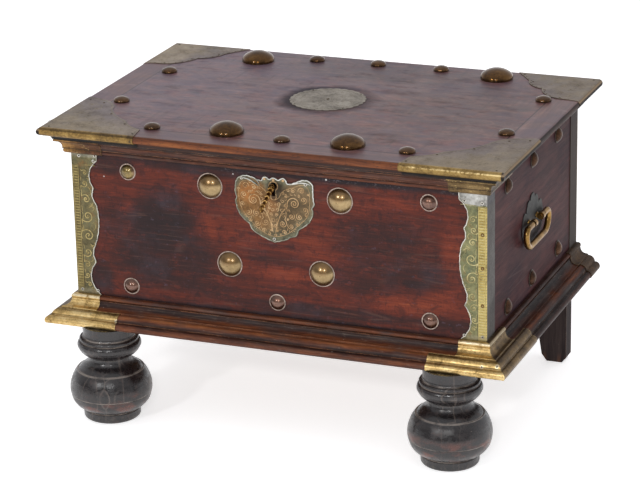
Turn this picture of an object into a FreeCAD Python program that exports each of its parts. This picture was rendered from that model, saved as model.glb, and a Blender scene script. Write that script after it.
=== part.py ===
import FreeCAD, Part
import math
import os

import Sketcher

# A small brass-mounted hardwood chest on two turned bun feet at the front and two plank feet at the rear.
# Frame: millimetres, +Z up, the front faces -Y, +X to the viewer's right. The origin is the centre of the
# bounding box on the floor. Heights are measured from the floor, depths from the front face of the carcass.

os.makedirs("parts", exist_ok=True)
doc = FreeCAD.newDocument("chest")
V = FreeCAD.Vector
Rot = FreeCAD.Rotation
Place = FreeCAD.Placement

# ---------------------------------------------------------------- driving dimensions
DIMS = [
    ("body_wide", 466.6), ("body_deep", 326.0), ("board_thick", 16.0), ("rebate", 8.0),
    ("shelf_level", 125.0), ("carcass_top", 313.7), ("bottom_thick", 12.0),
    ("front_shift", 141.07),
    ("plinth_low", 107.0), ("plinth_high", 135.4), ("plinth_out", 28.5), ("plinth_in", 34.0),
    ("lid_low", 314.0), ("lid_high", 328.0), ("lid_over", 27.0), ("lid_back", 5.6), ("frame_wide", 33.3),
    ("rim_low", 297.4), ("rim_gap", 1.5),
    ("bun_place", 196.0), ("bun_set", -7.4), ("bun_radius", 45.0), ("tenon_radius", 11.0), ("tenon_high", 14.0),
    ("plank_thick", 20.0), ("plank_top", 45.0), ("plank_foot", 27.0), ("plank_set", 12.8),
    ("strap_thick", 0.8), ("strap_side", 26.0), ("strap_low", 135.7), ("strap_high", 305.0),
    ("cap_thick", 0.8), ("plate_thick", 0.7),
    ("boss_big", 13.3), ("boss_big_rise", 7.2), ("boss_small", 8.1), ("boss_small_rise", 4.8),
    ("washer_big", 14.5), ("washer_small", 9.4), ("washer_thick", 0.8),
    ("lid_boss_big", 18.75), ("lid_boss_big_rise", 12.0), ("lid_boss_small", 9.0), ("lid_boss_small_rise", 5.7),
    ("nail_radius", 2.2), ("nail_long", 12.0), ("nail_fit", 0.03),
    ("medal_radius", 42.0), ("medal_place", -3.0), ("medal_set", 167.0),
    ("key_level", 281.5), ("shank_radius", 2.5), ("bit_reach", 10.0), ("bit_thick", 2.4),
    ("lock_wide", 70.0), ("lock_low", 262.0), ("lock_high", 312.0), ("lock_deep", 14.0), ("lock_wall", 1.5),
    ("bolt_thick", 3.0), ("bolt_low", 289.2), ("bolt_high", 297.5), ("bolt_set", 20.0),
    ("hinge_level", 311.0), ("hinge_set", 329.5), ("knuckle_radius", 2.7), ("hinge_pin", 1.3), ("pin_fit", 0.05),
    ("hinge_place", 140.0), ("hinge_wide", 24.0), ("hinge_leaf", 1.2), ("hinge_drop", 64.0), ("hinge_reach", 58.0),
    ("grip_set", 157.0), ("grip_level", 219.3), ("grip_post", 14.0), ("grip_half", 39.6), ("grip_drop", 22.6),
    ("bail_radius", 3.4), ("bail_pin", 2.0), ("bail_fit", 0.08), ("eye_radius", 4.2), ("eye_stand", 5.5),
    ("grip_plate", 1.0),
]
sheet = doc.addObject("Spreadsheet::Sheet", "dims")
for row, (alias, number) in enumerate(DIMS, start=1):
    sheet.set("A%d" % row, alias)
    sheet.set("B%d" % row, repr(number))
    sheet.setAlias("B%d" % row, alias)
doc.recompute()


class Size:
    """A length that carries both its number and the sheet expression that drives it."""

    def __init__(self, text, number):
        self.text = text
        self.number = float(number)

    @staticmethod
    def of(other):
        return other if isinstance(other, Size) else Size(repr(float(other)), other)

    def __add__(self, other):
        other = Size.of(other)
        return Size("(%s + %s)" % (self.text, other.text), self.number + other.number)

    __radd__ = __add__

    def __sub__(self, other):
        other = Size.of(other)
        return Size("(%s - %s)" % (self.text, other.text), self.number - other.number)

    def __rsub__(self, other):
        return Size.of(other) - self

    def __mul__(self, factor):
        return Size("(%s * %r)" % (self.text, float(factor)), self.number * factor)

    __rmul__ = __mul__

    def __truediv__(self, factor):
        return Size("(%s / %r)" % (self.text, float(factor)), self.number / factor)

    def __neg__(self):
        return Size("(0 - %s)" % self.text, -self.number)


class Sheet:
    def __getattr__(self, alias):
        return Size("dims." + alias, sheet.get(alias))


D = Sheet()


def num(size):
    return Size.of(size).number


def bind(obj, prop, size):
    size = Size.of(size)
    setattr(obj, prop, size.number)
    if "dims." in size.text:
        obj.setExpression(prop, size.text)


def at(obj, x, y, z, rotation=None):
    x, y, z = Size.of(x), Size.of(y), Size.of(z)
    obj.Placement = Place(V(x.number, y.number, z.number), rotation or Rot())
    for axis, size in (("x", x), ("y", y), ("z", z)):
        if "dims." in size.text:
            obj.setExpression("Placement.Base." + axis, size.text)
    return obj


def deep(depth):
    """Depth behind the carcass front face, turned into the frame's Y."""
    return Size.of(depth) - D.front_shift


HALF = D.body_wide / 2
BACK = deep(D.body_deep)
FRONT = deep(0)
NODES = []


def node(obj, label):
    obj.Label = label
    NODES.append((label, obj))
    return obj


# ---------------------------------------------------------------- building blocks
def origin_plane(body, role):
    for feature in body.Origin.OriginFeatures:
        if feature.Role == role:
            return feature


def arc_through(p, q, r):
    (ax, ay), (bx, by), (cx, cy) = p, q, r
    d = 2 * (ax * (by - cy) + bx * (cy - ay) + cx * (ay - by))
    ux = ((ax * ax + ay * ay) * (by - cy) + (bx * bx + by * by) * (cy - ay) + (cx * cx + cy * cy) * (ay - by)) / d
    uy = ((ax * ax + ay * ay) * (cx - bx) + (bx * bx + by * by) * (ax - cx) + (cx * cx + cy * cy) * (bx - ax)) / d
    radius = math.hypot(ax - ux, ay - uy)
    start, end = math.atan2(ay - uy, ax - ux), math.atan2(cy - uy, cx - ux)
    if d < 0:
        start, end = end, start
    if end <= start:
        end += 2 * math.pi
    return Part.ArcOfCircle(Part.Circle(V(ux, uy, 0), V(0, 0, 1), radius), start, end)


def path_geometry(path, closed=True):
    """path: first item a point, then points (straight run) or ("arc", via, end)."""
    here = (num(path[0][0]), num(path[0][1]))
    first = here
    out = []
    for item in path[1:]:
        if item[0] == "arc":
            via, end = item[1], item[2]
            via = (num(via[0]), num(via[1]))
            end = (num(end[0]), num(end[1]))
            out.append(arc_through(here, via, end))
        else:
            end = (num(item[0]), num(item[1]))
            out.append(Part.LineSegment(V(here[0], here[1], 0), V(end[0], end[1], 0)))
        here = end
    if closed and math.hypot(here[0] - first[0], here[1] - first[1]) > 1e-6:
        out.append(Part.LineSegment(V(here[0], here[1], 0), V(first[0], first[1], 0)))
    return out


def new_body(name):
    return doc.addObject("PartDesign::Body", name)


def sketch_on(body, name, role, offset=None):
    sketch = body.newObject("Sketcher::SketchObject", name)
    sketch.AttachmentSupport = [(origin_plane(body, role), "")]
    sketch.MapMode = "FlatFace"
    if offset is not None:
        offset = Size.of(offset)
        sketch.AttachmentOffset = Place(V(0, 0, offset.number), Rot())
        if "dims." in offset.text:
            sketch.setExpression("AttachmentOffset.Base.z", offset.text)
    return sketch


def draw_polygon(sketch, points):
    """A closed polygon whose corners are dimensioned from the sketch's origin and bound to the sheet."""
    count = len(points)
    lines = []
    for i in range(count):
        a, b = points[i], points[(i + 1) % count]
        lines.append(sketch.addGeometry(Part.LineSegment(V(num(a[0]), num(a[1]), 0), V(num(b[0]), num(b[1]), 0)), False))
    for i in range(count):
        sketch.addConstraint(Sketcher.Constraint("Coincident", lines[i], 2, lines[(i + 1) % count], 1))
    for i, point in enumerate(points):
        for kind, size in (("DistanceX", point[0]), ("DistanceY", point[1])):
            size = Size.of(size)
            index = sketch.addConstraint(Sketcher.Constraint(kind, -1, 1, lines[i], 1, size.number))
            if "dims." in size.text:
                sketch.setExpression("Constraints[%d]" % index, size.text)


def draw_path(sketch, path):
    sketch.addGeometry(path_geometry(path), False)


def pad(body, name, sketch, length, reversed_=False, midplane=False):
    feature = body.newObject("PartDesign::Pad", name)
    feature.Profile = sketch
    bind(feature, "Length", length)
    feature.Reversed = reversed_
    feature.Midplane = midplane
    body.Tip = feature
    return feature


def prism(name, role, points, length, offset=None, path=False, reversed_=False, midplane=False):
    """One padded outline. XY pads up, XZ pads to -Y, YZ pads to +X."""
    body = new_body(name)
    sketch = sketch_on(body, name + "_sketch", role, offset)
    if path:
        draw_path(sketch, points)
    else:
        draw_polygon(sketch, points)
    pad(body, name + "_pad", sketch, length, reversed_, midplane)
    return body


def turned(name, path):
    """A solid of revolution about Z from a half profile in the XZ plane."""
    body = new_body(name)
    sketch = sketch_on(body, name + "_sketch", "XZ_Plane")
    draw_path(sketch, path)
    feature = body.newObject("PartDesign::Revolution", name + "_turning")
    feature.Profile = sketch
    feature.ReferenceAxis = (sketch, ["V_Axis"])
    feature.Angle = 360
    body.Tip = feature
    return body


def block(name, x0, x1, y0, y1, z0, z1):
    box = doc.addObject("Part::Box", name)
    x0, x1, y0, y1, z0, z1 = (Size.of(item) for item in (x0, x1, y0, y1, z0, z1))
    bind(box, "Length", x1 - x0)
    bind(box, "Width", y1 - y0)
    bind(box, "Height", z1 - z0)
    return at(box, x0, y0, z0)


ALONG_X = Rot(V(0, 1, 0), 90)
ALONG_BACK_X = Rot(V(0, 1, 0), -90)
ALONG_FRONT = Rot(V(1, 0, 0), 90)
ALONG_BACK = Rot(V(1, 0, 0), -90)
UP = Rot()


def rod(name, radius, length, x, y, z, rotation=UP):
    cylinder = doc.addObject("Part::Cylinder", name)
    bind(cylinder, "Radius", radius)
    bind(cylinder, "Height", length)
    return at(cylinder, x, y, z, rotation)


def spread(name, master, spots, rotation=UP):
    """Copies of one piece at several spots, kept as separate solids of one compound."""
    links = []
    for index, (x, y, z) in enumerate(spots):
        link = doc.addObject("App::Link", "%s_%d" % (name, index))
        link.LinkedObject = master
        link.LinkTransform = True
        at(link, x, y, z, rotation)
        links.append(link)
    compound = doc.addObject("Part::Compound", name)
    compound.Links = links
    return compound


def join(name, pieces):
    fused = doc.addObject("Part::MultiFuse", name)
    fused.Shapes = pieces
    fused.Refine = True
    return fused


def group(name, pieces):
    compound = doc.addObject("Part::Compound", name)
    compound.Links = pieces
    return compound


def cut(name, base, tool):
    result = doc.addObject("Part::Cut", name)
    result.Base = base
    result.Tool = tool
    return result


def common(name, base, tool):
    result = doc.addObject("Part::Common", name)
    result.Base = base
    result.Tool = tool
    return result


def raw(name, shape):
    feature = doc.addObject("Part::Feature", name)
    feature.Shape = shape
    return feature


# ---------------------------------------------------------------- where the domed nails sit
FRONT_BIG = [(-72.6, 274.3), (74.2, 273.0), (-52.4, 189.1), (52.6, 189.9)]
FRONT_SMALL = [(-168.0, 280.4), (-169.2, 150.6), (1.2, 151.8), (171.8, 281.0), (172.4, 151.6)]
END_SMALL = [(70.0, 284.0), (160.0, 285.0), (250.0, 286.0), (70.0, 149.6), (156.0, 152.0), (253.0, 153.0)]
LID_BIG = [(-137.0, 291.0), (146.5, 303.0), (-61.0, 21.8), (77.0, 18.0)]
LID_SMALL = [(-217.0, 93.5), (-215.5, 217.0), (-143.0, 12.4), (6.0, 11.0), (143.5, 14.5),
             (-72.0, 311.0), (1.5, 314.0), (77.0, 315.0), (221.0, 105.5), (222.0, 234.0)]


def dome(edge, low, top):
    """A spherical cap from the axis at height top down to (edge, low), as an arc item."""
    h = top - low
    sphere = (edge * edge + h * h) / (2 * h)
    centre = top - sphere
    phi = math.atan2(edge, low - centre)
    return ("arc", (sphere * math.sin(phi / 2), centre + sphere * math.cos(phi / 2)), (edge, low))


def oval(radius, low, top, part=0.42):
    """Half outline of a flattened dome from its top to an upright rim: a wide arc, then a small one, tangent to it."""
    h, small = top - low, part * radius
    wide = ((radius - small) ** 2 + h ** 2 - small ** 2) / (2 * (h - small))
    lean = math.atan2(wide - h, radius - small)
    join_at = (wide * math.cos(lean), top - wide + wide * math.sin(lean))
    upper, lower = (math.pi / 2 + lean) / 2, lean / 2
    return [("arc", (wide * math.cos(upper), top - wide + wide * math.sin(upper)), join_at),
            ("arc", (radius - small + small * math.cos(lower), low + small * math.sin(lower)), (radius, low))]


def nail(name, radius, rise, flange, seat, upright=False):
    """A domed nail head standing on the plane z = seat, with a tapered-tip shank down into the wood."""
    r, h = num(radius), num(rise)
    s, shank = num(D.nail_radius), num(D.nail_long)
    s0 = num(seat)
    top = s0 + h
    knee = r * 0.93 if flange else r - 0.1
    head = [(0, top)] + (oval(knee, s0 + 0.7, top) if upright else [dome(knee, s0 + 0.7, top)])
    head += [(r - 0.3, s0 + 0.6), (r, s0 + 0.35), (r - 0.1, s0)]
    return turned(name, head + [(s, s0), (s, -shank + 3.0), (0.4, -shank), (0, -shank)])


def holes(name, spots, rotation, long=None):
    drill = rod(name + "_drill", D.nail_radius + D.nail_fit, long or (D.nail_long + 0.6) * 2, 0, 0, 0)
    bind(drill, "Height", D.nail_long + 1.6)
    at(drill, 0, 0, -(D.nail_long + 0.6))
    return spread(name, drill, spots, rotation)


front_spots = [(x, FRONT, z) for x, z in FRONT_BIG + FRONT_SMALL]
right_spots = [(HALF, deep(y), z) for y, z in END_SMALL]
left_spots = [(-HALF, deep(y), z) for y, z in END_SMALL]
lid_spots = [(x, deep(y), D.lid_high) for x, y in LID_BIG + LID_SMALL]

# ---------------------------------------------------------------- carcass boards, rebated at the corners
high = D.carcass_top - D.shelf_level
front_raw = prism("front_board_raw", "XY_Plane", [
    (-HALF, FRONT), (HALF, FRONT), (HALF, deep(D.rebate)), (HALF - D.board_thick, deep(D.rebate)),
    (HALF - D.board_thick, deep(D.board_thick)), (-HALF + D.board_thick, deep(D.board_thick)),
    (-HALF + D.board_thick, deep(D.rebate)), (-HALF, deep(D.rebate))], high, offset=D.shelf_level)
keyhole = join("keyhole_way", [
    rod("keyhole_round", D.shank_radius + 1.1, 18.0, 0, deep(17.0), D.key_level, ALONG_FRONT),
    block("keyhole_slot", -1.8, 1.8, deep(-1.0), deep(17.0), D.key_level - D.bit_reach - 1.0, D.key_level)])
SCREWS = [(-40.0, 272.0), (-40.0, 302.0), (40.0, 272.0), (40.0, 302.0)]
screw_way = rod("screw_way", 1.53, 10.5, 0, 0, 0)
screw_holes = spread("screw_holes", screw_way, [(x, deep(D.board_thick - 10.0), z) for x, z in SCREWS], ALONG_BACK)
front_board = cut("front_board_bored", front_raw,
                  group("front_board_ways", [holes("front_holes", front_spots, ALONG_FRONT), keyhole, screw_holes]))
node(front_board, "front_board")

back_board = prism("back_board_raw", "XY_Plane", [
    (-HALF, BACK), (-HALF, BACK - D.rebate), (-HALF + D.board_thick, BACK - D.rebate),
    (-HALF + D.board_thick, BACK - D.board_thick), (HALF - D.board_thick, BACK - D.board_thick),
    (HALF - D.board_thick, BACK - D.rebate), (HALF, BACK - D.rebate), (HALF, BACK)], high, offset=D.shelf_level)
node(back_board, "back_board")

GRIP = [(deep(D.grip_set - D.grip_post), D.grip_level), (deep(D.grip_set + D.grip_post), D.grip_level)]
post_way = rod("post_way", 2.03, 13.0, 0, 0, 0)
at(post_way, 0, 0, -12.0)
for side, label, spots, turn in ((1, "right", right_spots, ALONG_X), (-1, "left", left_spots, ALONG_BACK_X)):
    inner, outer = (HALF - D.board_thick, HALF) if side > 0 else (-HALF, -HALF + D.board_thick)
    board = block(label + "_end_raw", inner, outer, deep(D.rebate), BACK - D.rebate, D.shelf_level, D.carcass_top)
    posts = spread(label + "_post_ways", post_way, [(side * HALF, y, z) for y, z in GRIP], turn)
    node(cut(label + "_end_bored", board, group(label + "_end_ways", [holes(label + "_end_holes", spots, turn), posts])),
         label + "_end_board")

node(block("bottom", -HALF + D.board_thick, HALF - D.board_thick, deep(D.board_thick), BACK - D.board_thick,
           D.shelf_level, D.shelf_level + D.bottom_thick), "bottom_board")

# ---------------------------------------------------------------- plinth: moulded rails mitred at the front corners
PH = num(D.plinth_high)


def plinth_outer():
    """Moulded face of the plinth as (offset from the carcass face, height): bead, cavetto, fillet, ovolo, torus."""
    return [(4.0, PH), ("arc", (5.75, PH - 2.3), (4.0, PH - 4.6)), (5.4, PH - 5.0),
            ("arc", (7.6, PH - 10.2), (13.0, PH - 12.5)), (14.5, PH - 12.7), (14.6, PH - 14.2),
            ("arc", (20.6, PH - 15.9), (22.6, PH - 20.6)), (24.0, PH - 21.0),
            ("arc", (28.5, PH - 24.8), (27.2, PH - 28.4))]


def plinth_profile():
    return ([(0.0, PH)] + plinth_outer() + [(-num(D.plinth_in), num(D.plinth_low)),
            (-num(D.plinth_in), num(D.shelf_level)), (0.0, num(D.shelf_level))])


def mirror_path(path, fx, fz=lambda z: z):
    out = []
    for item in path:
        if item[0] == "arc":
            out.append(("arc", (fx(item[1][0]), fz(item[1][1])), (fx(item[2][0]), fz(item[2][1]))))
        else:
            out.append((fx(item[0]), fz(item[1])))
    return out


half_n, front_n, back_n = num(HALF), num(FRONT), num(BACK)
reach = half_n + 40.0
wedge_long = [(-reach, front_n - 40.0), (reach, front_n - 40.0), (half_n - 60.0, front_n + 60.0),
              (-half_n + 60.0, front_n + 60.0)]


def wedge(name, points, low, tall):
    return prism(name, "XY_Plane", points, tall, offset=low)


front_rail = prism("plinth_front_raw", "YZ_Plane", mirror_path(plinth_profile(), lambda o: front_n - o),
                   2 * reach, path=True, midplane=True)
front_mitre = wedge("plinth_front_mitre", [(-half_n - 40.0, front_n - 40.0), (half_n + 40.0, front_n - 40.0),
                                           (half_n - 60.0, front_n + 60.0), (-half_n + 60.0, front_n + 60.0)], 100.0, 40.0)
tenon_way = rod("tenon_way", D.tenon_radius + D.nail_fit, D.tenon_high + 0.4, 0, 0, 0)
tenon_ways = spread("tenon_ways", tenon_way, [(-D.bun_place, deep(D.bun_set), D.plinth_low - 0.2),
                                              (D.bun_place, deep(D.bun_set), D.plinth_low - 0.2)])
node(cut("plinth_front", common("plinth_front_cut", front_rail, front_mitre), tenon_ways), "plinth_front_rail")

for side, label in ((1, "right"), (-1, "left")):
    rail = prism("plinth_%s_raw" % label, "XZ_Plane", mirror_path(plinth_profile(), lambda o: side * (half_n + o)),
                 back_n - front_n + 40.0, offset=-back_n, path=True)
    mitre = wedge("plinth_%s_mitre" % label,
                  [(side * (half_n + 40.0), front_n - 40.0), (side * (half_n + 40.0), back_n + 10.0),
                   (side * (half_n - 60.0), back_n + 10.0), (side * (half_n - 60.0), front_n + 60.0)], 100.0, 40.0)
    foot_top = BACK - D.plank_set
    mortise = block("mortise_" + label, side * 217.0 - 12.0, side * 217.0 + 12.0, foot_top - 15.0, foot_top - 5.0,
                    D.plinth_low - 1.0, D.plinth_low + 12.2)
    node(cut("plinth_" + label, common("plinth_%s_cut" % label, rail, mitre), mortise), "plinth_%s_rail" % label)
node(block("plinth_back", -HALF + D.plinth_in, HALF - D.plinth_in, BACK - D.plinth_in, BACK, D.plinth_low, D.shelf_level),
     "plinth_back_rail")

# ---------------------------------------------------------------- feet
R = num(D.bun_radius)
PL = num(D.plinth_low)
bun_profile = [
    (0, 0), (28.6, 0), ("arc", (30.6, 1.4), (31.2, 3.6)), (31.4, 9.6), (30.6, 10.6), (31.2, 11.6),
    ("arc", (40.4, 18.4), (44.1, 28.4)), (43.9, 29.0), (44.6, 29.9),
    ("arc", (44.9, 36.2), (43.2, 44.0)), ("arc", (40.8, 50.2), (36.6, 56.2)), (35.2, 56.0), (34.2, 57.2),
    ("arc", (31.6, 59.6), (27.6, 62.2)), ("arc", (24.4, 65.0), (22.9, 69.2)), (22.9, 70.6), (25.0, 71.6),
    (25.4, 72.8), ("arc", (30.4, 76.0), (33.6, 80.6)), ("arc", (34.9, 84.6), (33.4, 88.4)), (31.6, 89.4),
    (32.4, 90.6), ("arc", (32.0, 92.8), (29.8, 93.6)), (28.6, 94.4), ("arc", (28.2, 95.6), (28.4, 96.6)),
    (28.8, PL), (num(D.tenon_radius), PL), (num(D.tenon_radius), PL + num(D.tenon_high) - 1.0),
    (num(D.tenon_radius) - 1.0, PL + num(D.tenon_high)), (0, PL + num(D.tenon_high))]
bun = turned("bun_foot", bun_profile)
for side, label in ((-1, "front_left_bun_foot"), (1, "front_right_bun_foot")):
    foot = spread(label + "_copy", bun, [(side * D.bun_place, deep(D.bun_set), 0)])
    node(foot, label)

for side, label in ((1, "rear_right_plank_foot"), (-1, "rear_left_plank_foot")):
    low = [(side * (HALF - 5.0), 0), (side * HALF, 6.0), (side * HALF, D.plinth_low), (side * 229.0, D.plinth_low),
           (side * 229.0, D.plinth_low + 12), (side * 205.0, D.plinth_low + 12), (side * 205.0, D.plinth_low),
           (side * (HALF - D.plank_top), D.plinth_low), (side * (HALF - D.plank_foot - 2.0), 8.0),
           (side * (HALF - D.plank_foot + 4.0), 0)]
    plank = prism(label + "_plank", "XZ_Plane", low, D.plank_thick, offset=-(BACK - D.plank_set))
    shoulder = group(label + "_shoulders", [
        block(label + "_sh1", side * 217.0 - 13.0, side * 217.0 + 13.0, BACK - D.plank_set - D.plank_thick - 1.0,
              BACK - D.plank_set - 15.0, D.plinth_low, D.plinth_low + 13.0),
        block(label + "_sh2", side * 217.0 - 13.0, side * 217.0 + 13.0, BACK - D.plank_set - 5.0,
              BACK - D.plank_set + 1.0, D.plinth_low, D.plinth_low + 13.0)])
    node(cut(label + "_cut", plank, shoulder), label)

# ---------------------------------------------------------------- brass corner straps on the carcass
def strap_edge(z):
    return z


STRAP = [(30.2, 305.0), (29.4, 288.5), ("arc", (19.9, 271.0), (24.6, 257.6)), ("arc", (22.4, 249.0), (26.6, 240.4)),
         ("arc", (28.9, 218.0), (22.2, 190.0)), ("arc", (20.8, 182.0), (23.8, 173.4)), ("arc", (16.8, 157.0), (22.4, 141.6)),
         (27.6, 135.7)]

for side, label in ((-1, "left"), (1, "right")):
    for end, word in ((0, "front"), (1, "rear")):
        name = "%s_%s_corner_strap" % (word, label)
        t = D.strap_thick
        body = new_body(name + "_body")
        outline = mirror_path(STRAP, lambda w: side * (half_n - w))
        outline = [(side * (half_n + num(t)), num(D.strap_high))] + outline + [(side * (half_n + num(t)), num(D.strap_low))]
        face = sketch_on(body, name + "_face", "XZ_Plane", (-FRONT) if end == 0 else (-(BACK + t)))
        draw_path(face, outline)
        pad(body, name + "_leaf", face, t)
        y0, y1 = (FRONT, deep(D.strap_side)) if end == 0 else (BACK - D.strap_side, BACK)
        flank = sketch_on(body, name + "_flank", "YZ_Plane", HALF if side > 0 else -(HALF + t))
        draw_polygon(flank, [(y0, D.strap_low), (y1, D.strap_low), (y1, D.strap_high), (y0, D.strap_high)])
        pad(body, name + "_return", flank, t)
        node(body, name)


# ---------------------------------------------------------------- folded skins over a moulding
def skin_face(profile, thick, window):
    """The band of metal that lies on the outside of a closed (offset, height) profile, inside a window."""
    wire = Part.Wire(Part.__sortEdges__([g.toShape() for g in path_geometry(profile)]))
    face = Part.Face(wire)
    grown = face.makeOffset2D(thick, 0)
    frame = Part.Face(Part.makePolygon([V(x, z, 0) for x, z in window + window[:1]]))
    return grown.cut(face).common(frame)


def along_x(face, x0, x1):
    """Sweep an (offset, height) face along X on the front of the chest."""
    solid = face.extrude(V(0, 0, x1 - x0))
    # offset -> -Y, height -> Z, sweep -> -X
    return placed(solid, V(0, -1, 0), V(0, 0, 1), V(-1, 0, 0), V(x1, front_n, 0))


def placed(solid, ax, ay, az, base):
    """Rigid placement that takes the local axes to ax, ay and az (a right-handed set) and the origin to base."""
    m = FreeCAD.Matrix(ax.x, ay.x, az.x, base.x, ax.y, ay.y, az.y, base.y, ax.z, ay.z, az.z, base.z, 0, 0, 0, 1)
    out = solid.copy()
    out.Placement = FreeCAD.Placement(m)
    return out


def along_y(face, side, y0, y1):
    """Sweep an (offset, height) face along Y on the end of the chest at side -1 or +1."""
    if side > 0:
        # offset -> +X, height -> Z, sweep -> -Y
        solid = face.extrude(V(0, 0, y1 - y0))
        return placed(solid, V(1, 0, 0), V(0, 0, 1), V(0, -1, 0), V(half_n, y1, 0))
    solid = face.extrude(V(0, 0, y1 - y0))
    # offset -> -X, height -> Z, sweep -> +Y
    return placed(solid, V(-1, 0, 0), V(0, 0, 1), V(0, 1, 0), V(-half_n, y0, 0))


def post(points, z0, z1):
    poly = Part.makePolygon([V(x, y, z0) for x, y in points] + [V(points[0][0], points[0][1], z0)])
    return Part.Face(poly).extrude(V(0, 0, z1 - z0))


def corner_skin(face, side, fronts, sides):
    """A skin folded round a front corner: fronts and sides are (z0, z1, reach at z0, reach at z1) bands."""
    run_x = along_x(face, -half_n - 45.0, half_n + 45.0)
    run_y = along_y(face, side, front_n - 45.0, back_n + 1.0)
    big, far = 45.0, 60.0
    pieces = []
    for z0, z1, end in fronts:
        # between the mitre diagonal and X = end
        zone = post([(side * (half_n + big), front_n - big), (side * end, front_n - big),
                     (side * end, front_n + (half_n - end)), (side * half_n, front_n)], z0, z1)
        pieces.append(run_x.common(zone))
    for z0, z1, end in sides:
        zone = post([(side * (half_n + big), front_n - big), (side * half_n, front_n),
                     (side * (half_n - (end - 0.0)), front_n + end), (side * (half_n + big), front_n + end)], z0, z1)
        pieces.append(run_y.common(zone))
    out = pieces[0]
    for piece in pieces[1:]:
        out = out.fuse(piece)
    return out.removeSplitter()


def solids_only(shape):
    found = shape.Solids
    found.sort(key=lambda item: -item.Volume)
    return found


def keep_main(shape, label):
    found = solids_only(shape)
    if len(found) != 1:
        print("NOTE", label, "has", len(found), "solids", [round(item.Volume, 3) for item in found])
    return found[0]


ct = num(D.cap_thick)
plinth_face = skin_face(plinth_profile(), ct, [(0.9, PL), (40.0, PL), (40.0, PH + 5.0), (0.9, PH + 5.0)])
for side, label, low_end, high_end in ((-1, "plinth_cap_front_left", 178.0, 206.0), (1, "plinth_cap_front_right", 176.0, 205.0)):
    shape = corner_skin(plinth_face, side,
                        [(PL - 1, 122.4, low_end), (122.4, 140.0, high_end)],
                        [(PL - 1, 122.4, 84.0), (122.4, 140.0, 46.0)])
    node(raw(label + "_skin", keep_main(shape, label)), label)
for side, label in ((-1, "plinth_cap_rear_left"), (1, "plinth_cap_rear_right")):
    run = along_y(plinth_face, side, back_n - 60.0, back_n)
    upper = post([(side * half_n, back_n - 40.0), (side * (half_n + 45), back_n - 40.0), (side * (half_n + 45), back_n),
                  (side * half_n, back_n)], 122.4, 140.0)
    lower = post([(side * half_n, back_n - 34.0), (side * (half_n + 45), back_n - 34.0), (side * (half_n + 45), back_n),
                  (side * half_n, back_n)], 100.0, 122.4)
    shape = run.common(upper).fuse(run.common(lower)).removeSplitter()
    node(raw(label + "_skin", keep_main(shape, label)), label)

# ---------------------------------------------------------------- escutcheon, bosses and washers on the front and ends
ESC = [(-43.4, 281.0), (-44.4, 272.0), (-42.4, 265.0), (-44.2, 262.0), (-42.4, 253.0), (-39.4, 246.6), (-34.0, 240.8),
       (-28.0, 236.6), (-26.6, 231.4), (-22.6, 228.6), (-18.0, 226.0), (-11.0, 222.6), (-4.0, 220.2), (0.0, 219.0),
       (6.0, 220.6), (14.0, 223.2), (18.4, 226.4), (23.4, 227.4), (26.4, 230.6), (27.6, 235.4), (34.6, 240.0),
       (40.6, 245.4), (44.0, 252.6), (44.6, 257.6), (43.4, 261.4), (46.4, 264.6), (45.4, 271.0), (45.0, 279.0),
       (45.2, 286.0), (42.8, 289.8), (37.6, 292.2), (31.2, 291.4), (25.6, 288.6), (18.8, 285.8), (15.6, 286.2),
       (14.8, 289.6), (11.2, 291.8), (7.6, 290.6), (5.6, 288.4), (3.4, 290.4), (0.0, 291.2), (-3.0, 290.0), (-4.8, 288.4),
       (-7.0, 290.9), (-9.8, 291.8), (-12.6, 289.6), (-13.6, 286.6), (-18.0, 287.6), (-24.0, 290.0), (-29.0, 291.0),
       (-34.4, 290.6), (-39.6, 288.2), (-42.2, 285.0)]
esc_sheet = prism("escutcheon_sheet", "XZ_Plane", [(x, z) for x, z in ESC], D.plate_thick, offset=-FRONT, path=True)
esc_way = join("escutcheon_way", [
    rod("escutcheon_round", D.shank_radius + 1.1, 6.0, 0, deep(2.0), D.key_level, ALONG_FRONT),
    block("escutcheon_slot", -1.8, 1.8, deep(-3.0), deep(2.0), D.key_level - D.bit_reach - 1.0, D.key_level)])
node(cut("escutcheon", esc_sheet, esc_way), "escutcheon_plate")

big_nail = nail("front_big_nail", D.boss_big, D.boss_big_rise, False, D.washer_thick)
small_nail = nail("front_small_nail", D.boss_small, D.boss_small_rise, False, D.washer_thick)
wt, wf = num(D.washer_thick), num(D.nail_radius + D.nail_fit)
big_washer = turned("front_big_washer", [(wf, 0), (num(D.washer_big) - 0.2, 0), ("arc", (num(D.washer_big), wt * 0.5), (num(D.washer_big) - 0.3, wt)), (wf, wt)])
small_washer = turned("front_small_washer", [(wf, 0), (num(D.washer_small) - 0.2, 0), ("arc", (num(D.washer_small), wt * 0.5), (num(D.washer_small) - 0.3, wt)), (wf, wt)])
big_spots = [(x, FRONT, z) for x, z in FRONT_BIG]
small_spots = [(x, FRONT, z) for x, z in FRONT_SMALL]
node(spread("front_big_set", big_nail, big_spots, ALONG_FRONT), "front_large_bosses")
node(spread("front_small_set", small_nail, small_spots, ALONG_FRONT), "front_small_bosses")
node(spread("front_big_washers", big_washer, big_spots, ALONG_FRONT), "front_large_washers")
node(spread("front_small_washers", small_washer, small_spots, ALONG_FRONT), "front_small_washers")
node(group("end_nails", [spread("right_nails", small_nail, right_spots, ALONG_X),
                         spread("left_nails", small_nail, left_spots, ALONG_BACK_X)]), "end_bosses")
node(group("end_washer_set", [spread("right_washers", small_washer, right_spots, ALONG_X),
                              spread("left_washers", small_washer, left_spots, ALONG_BACK_X)]), "end_boss_washers")

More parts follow.
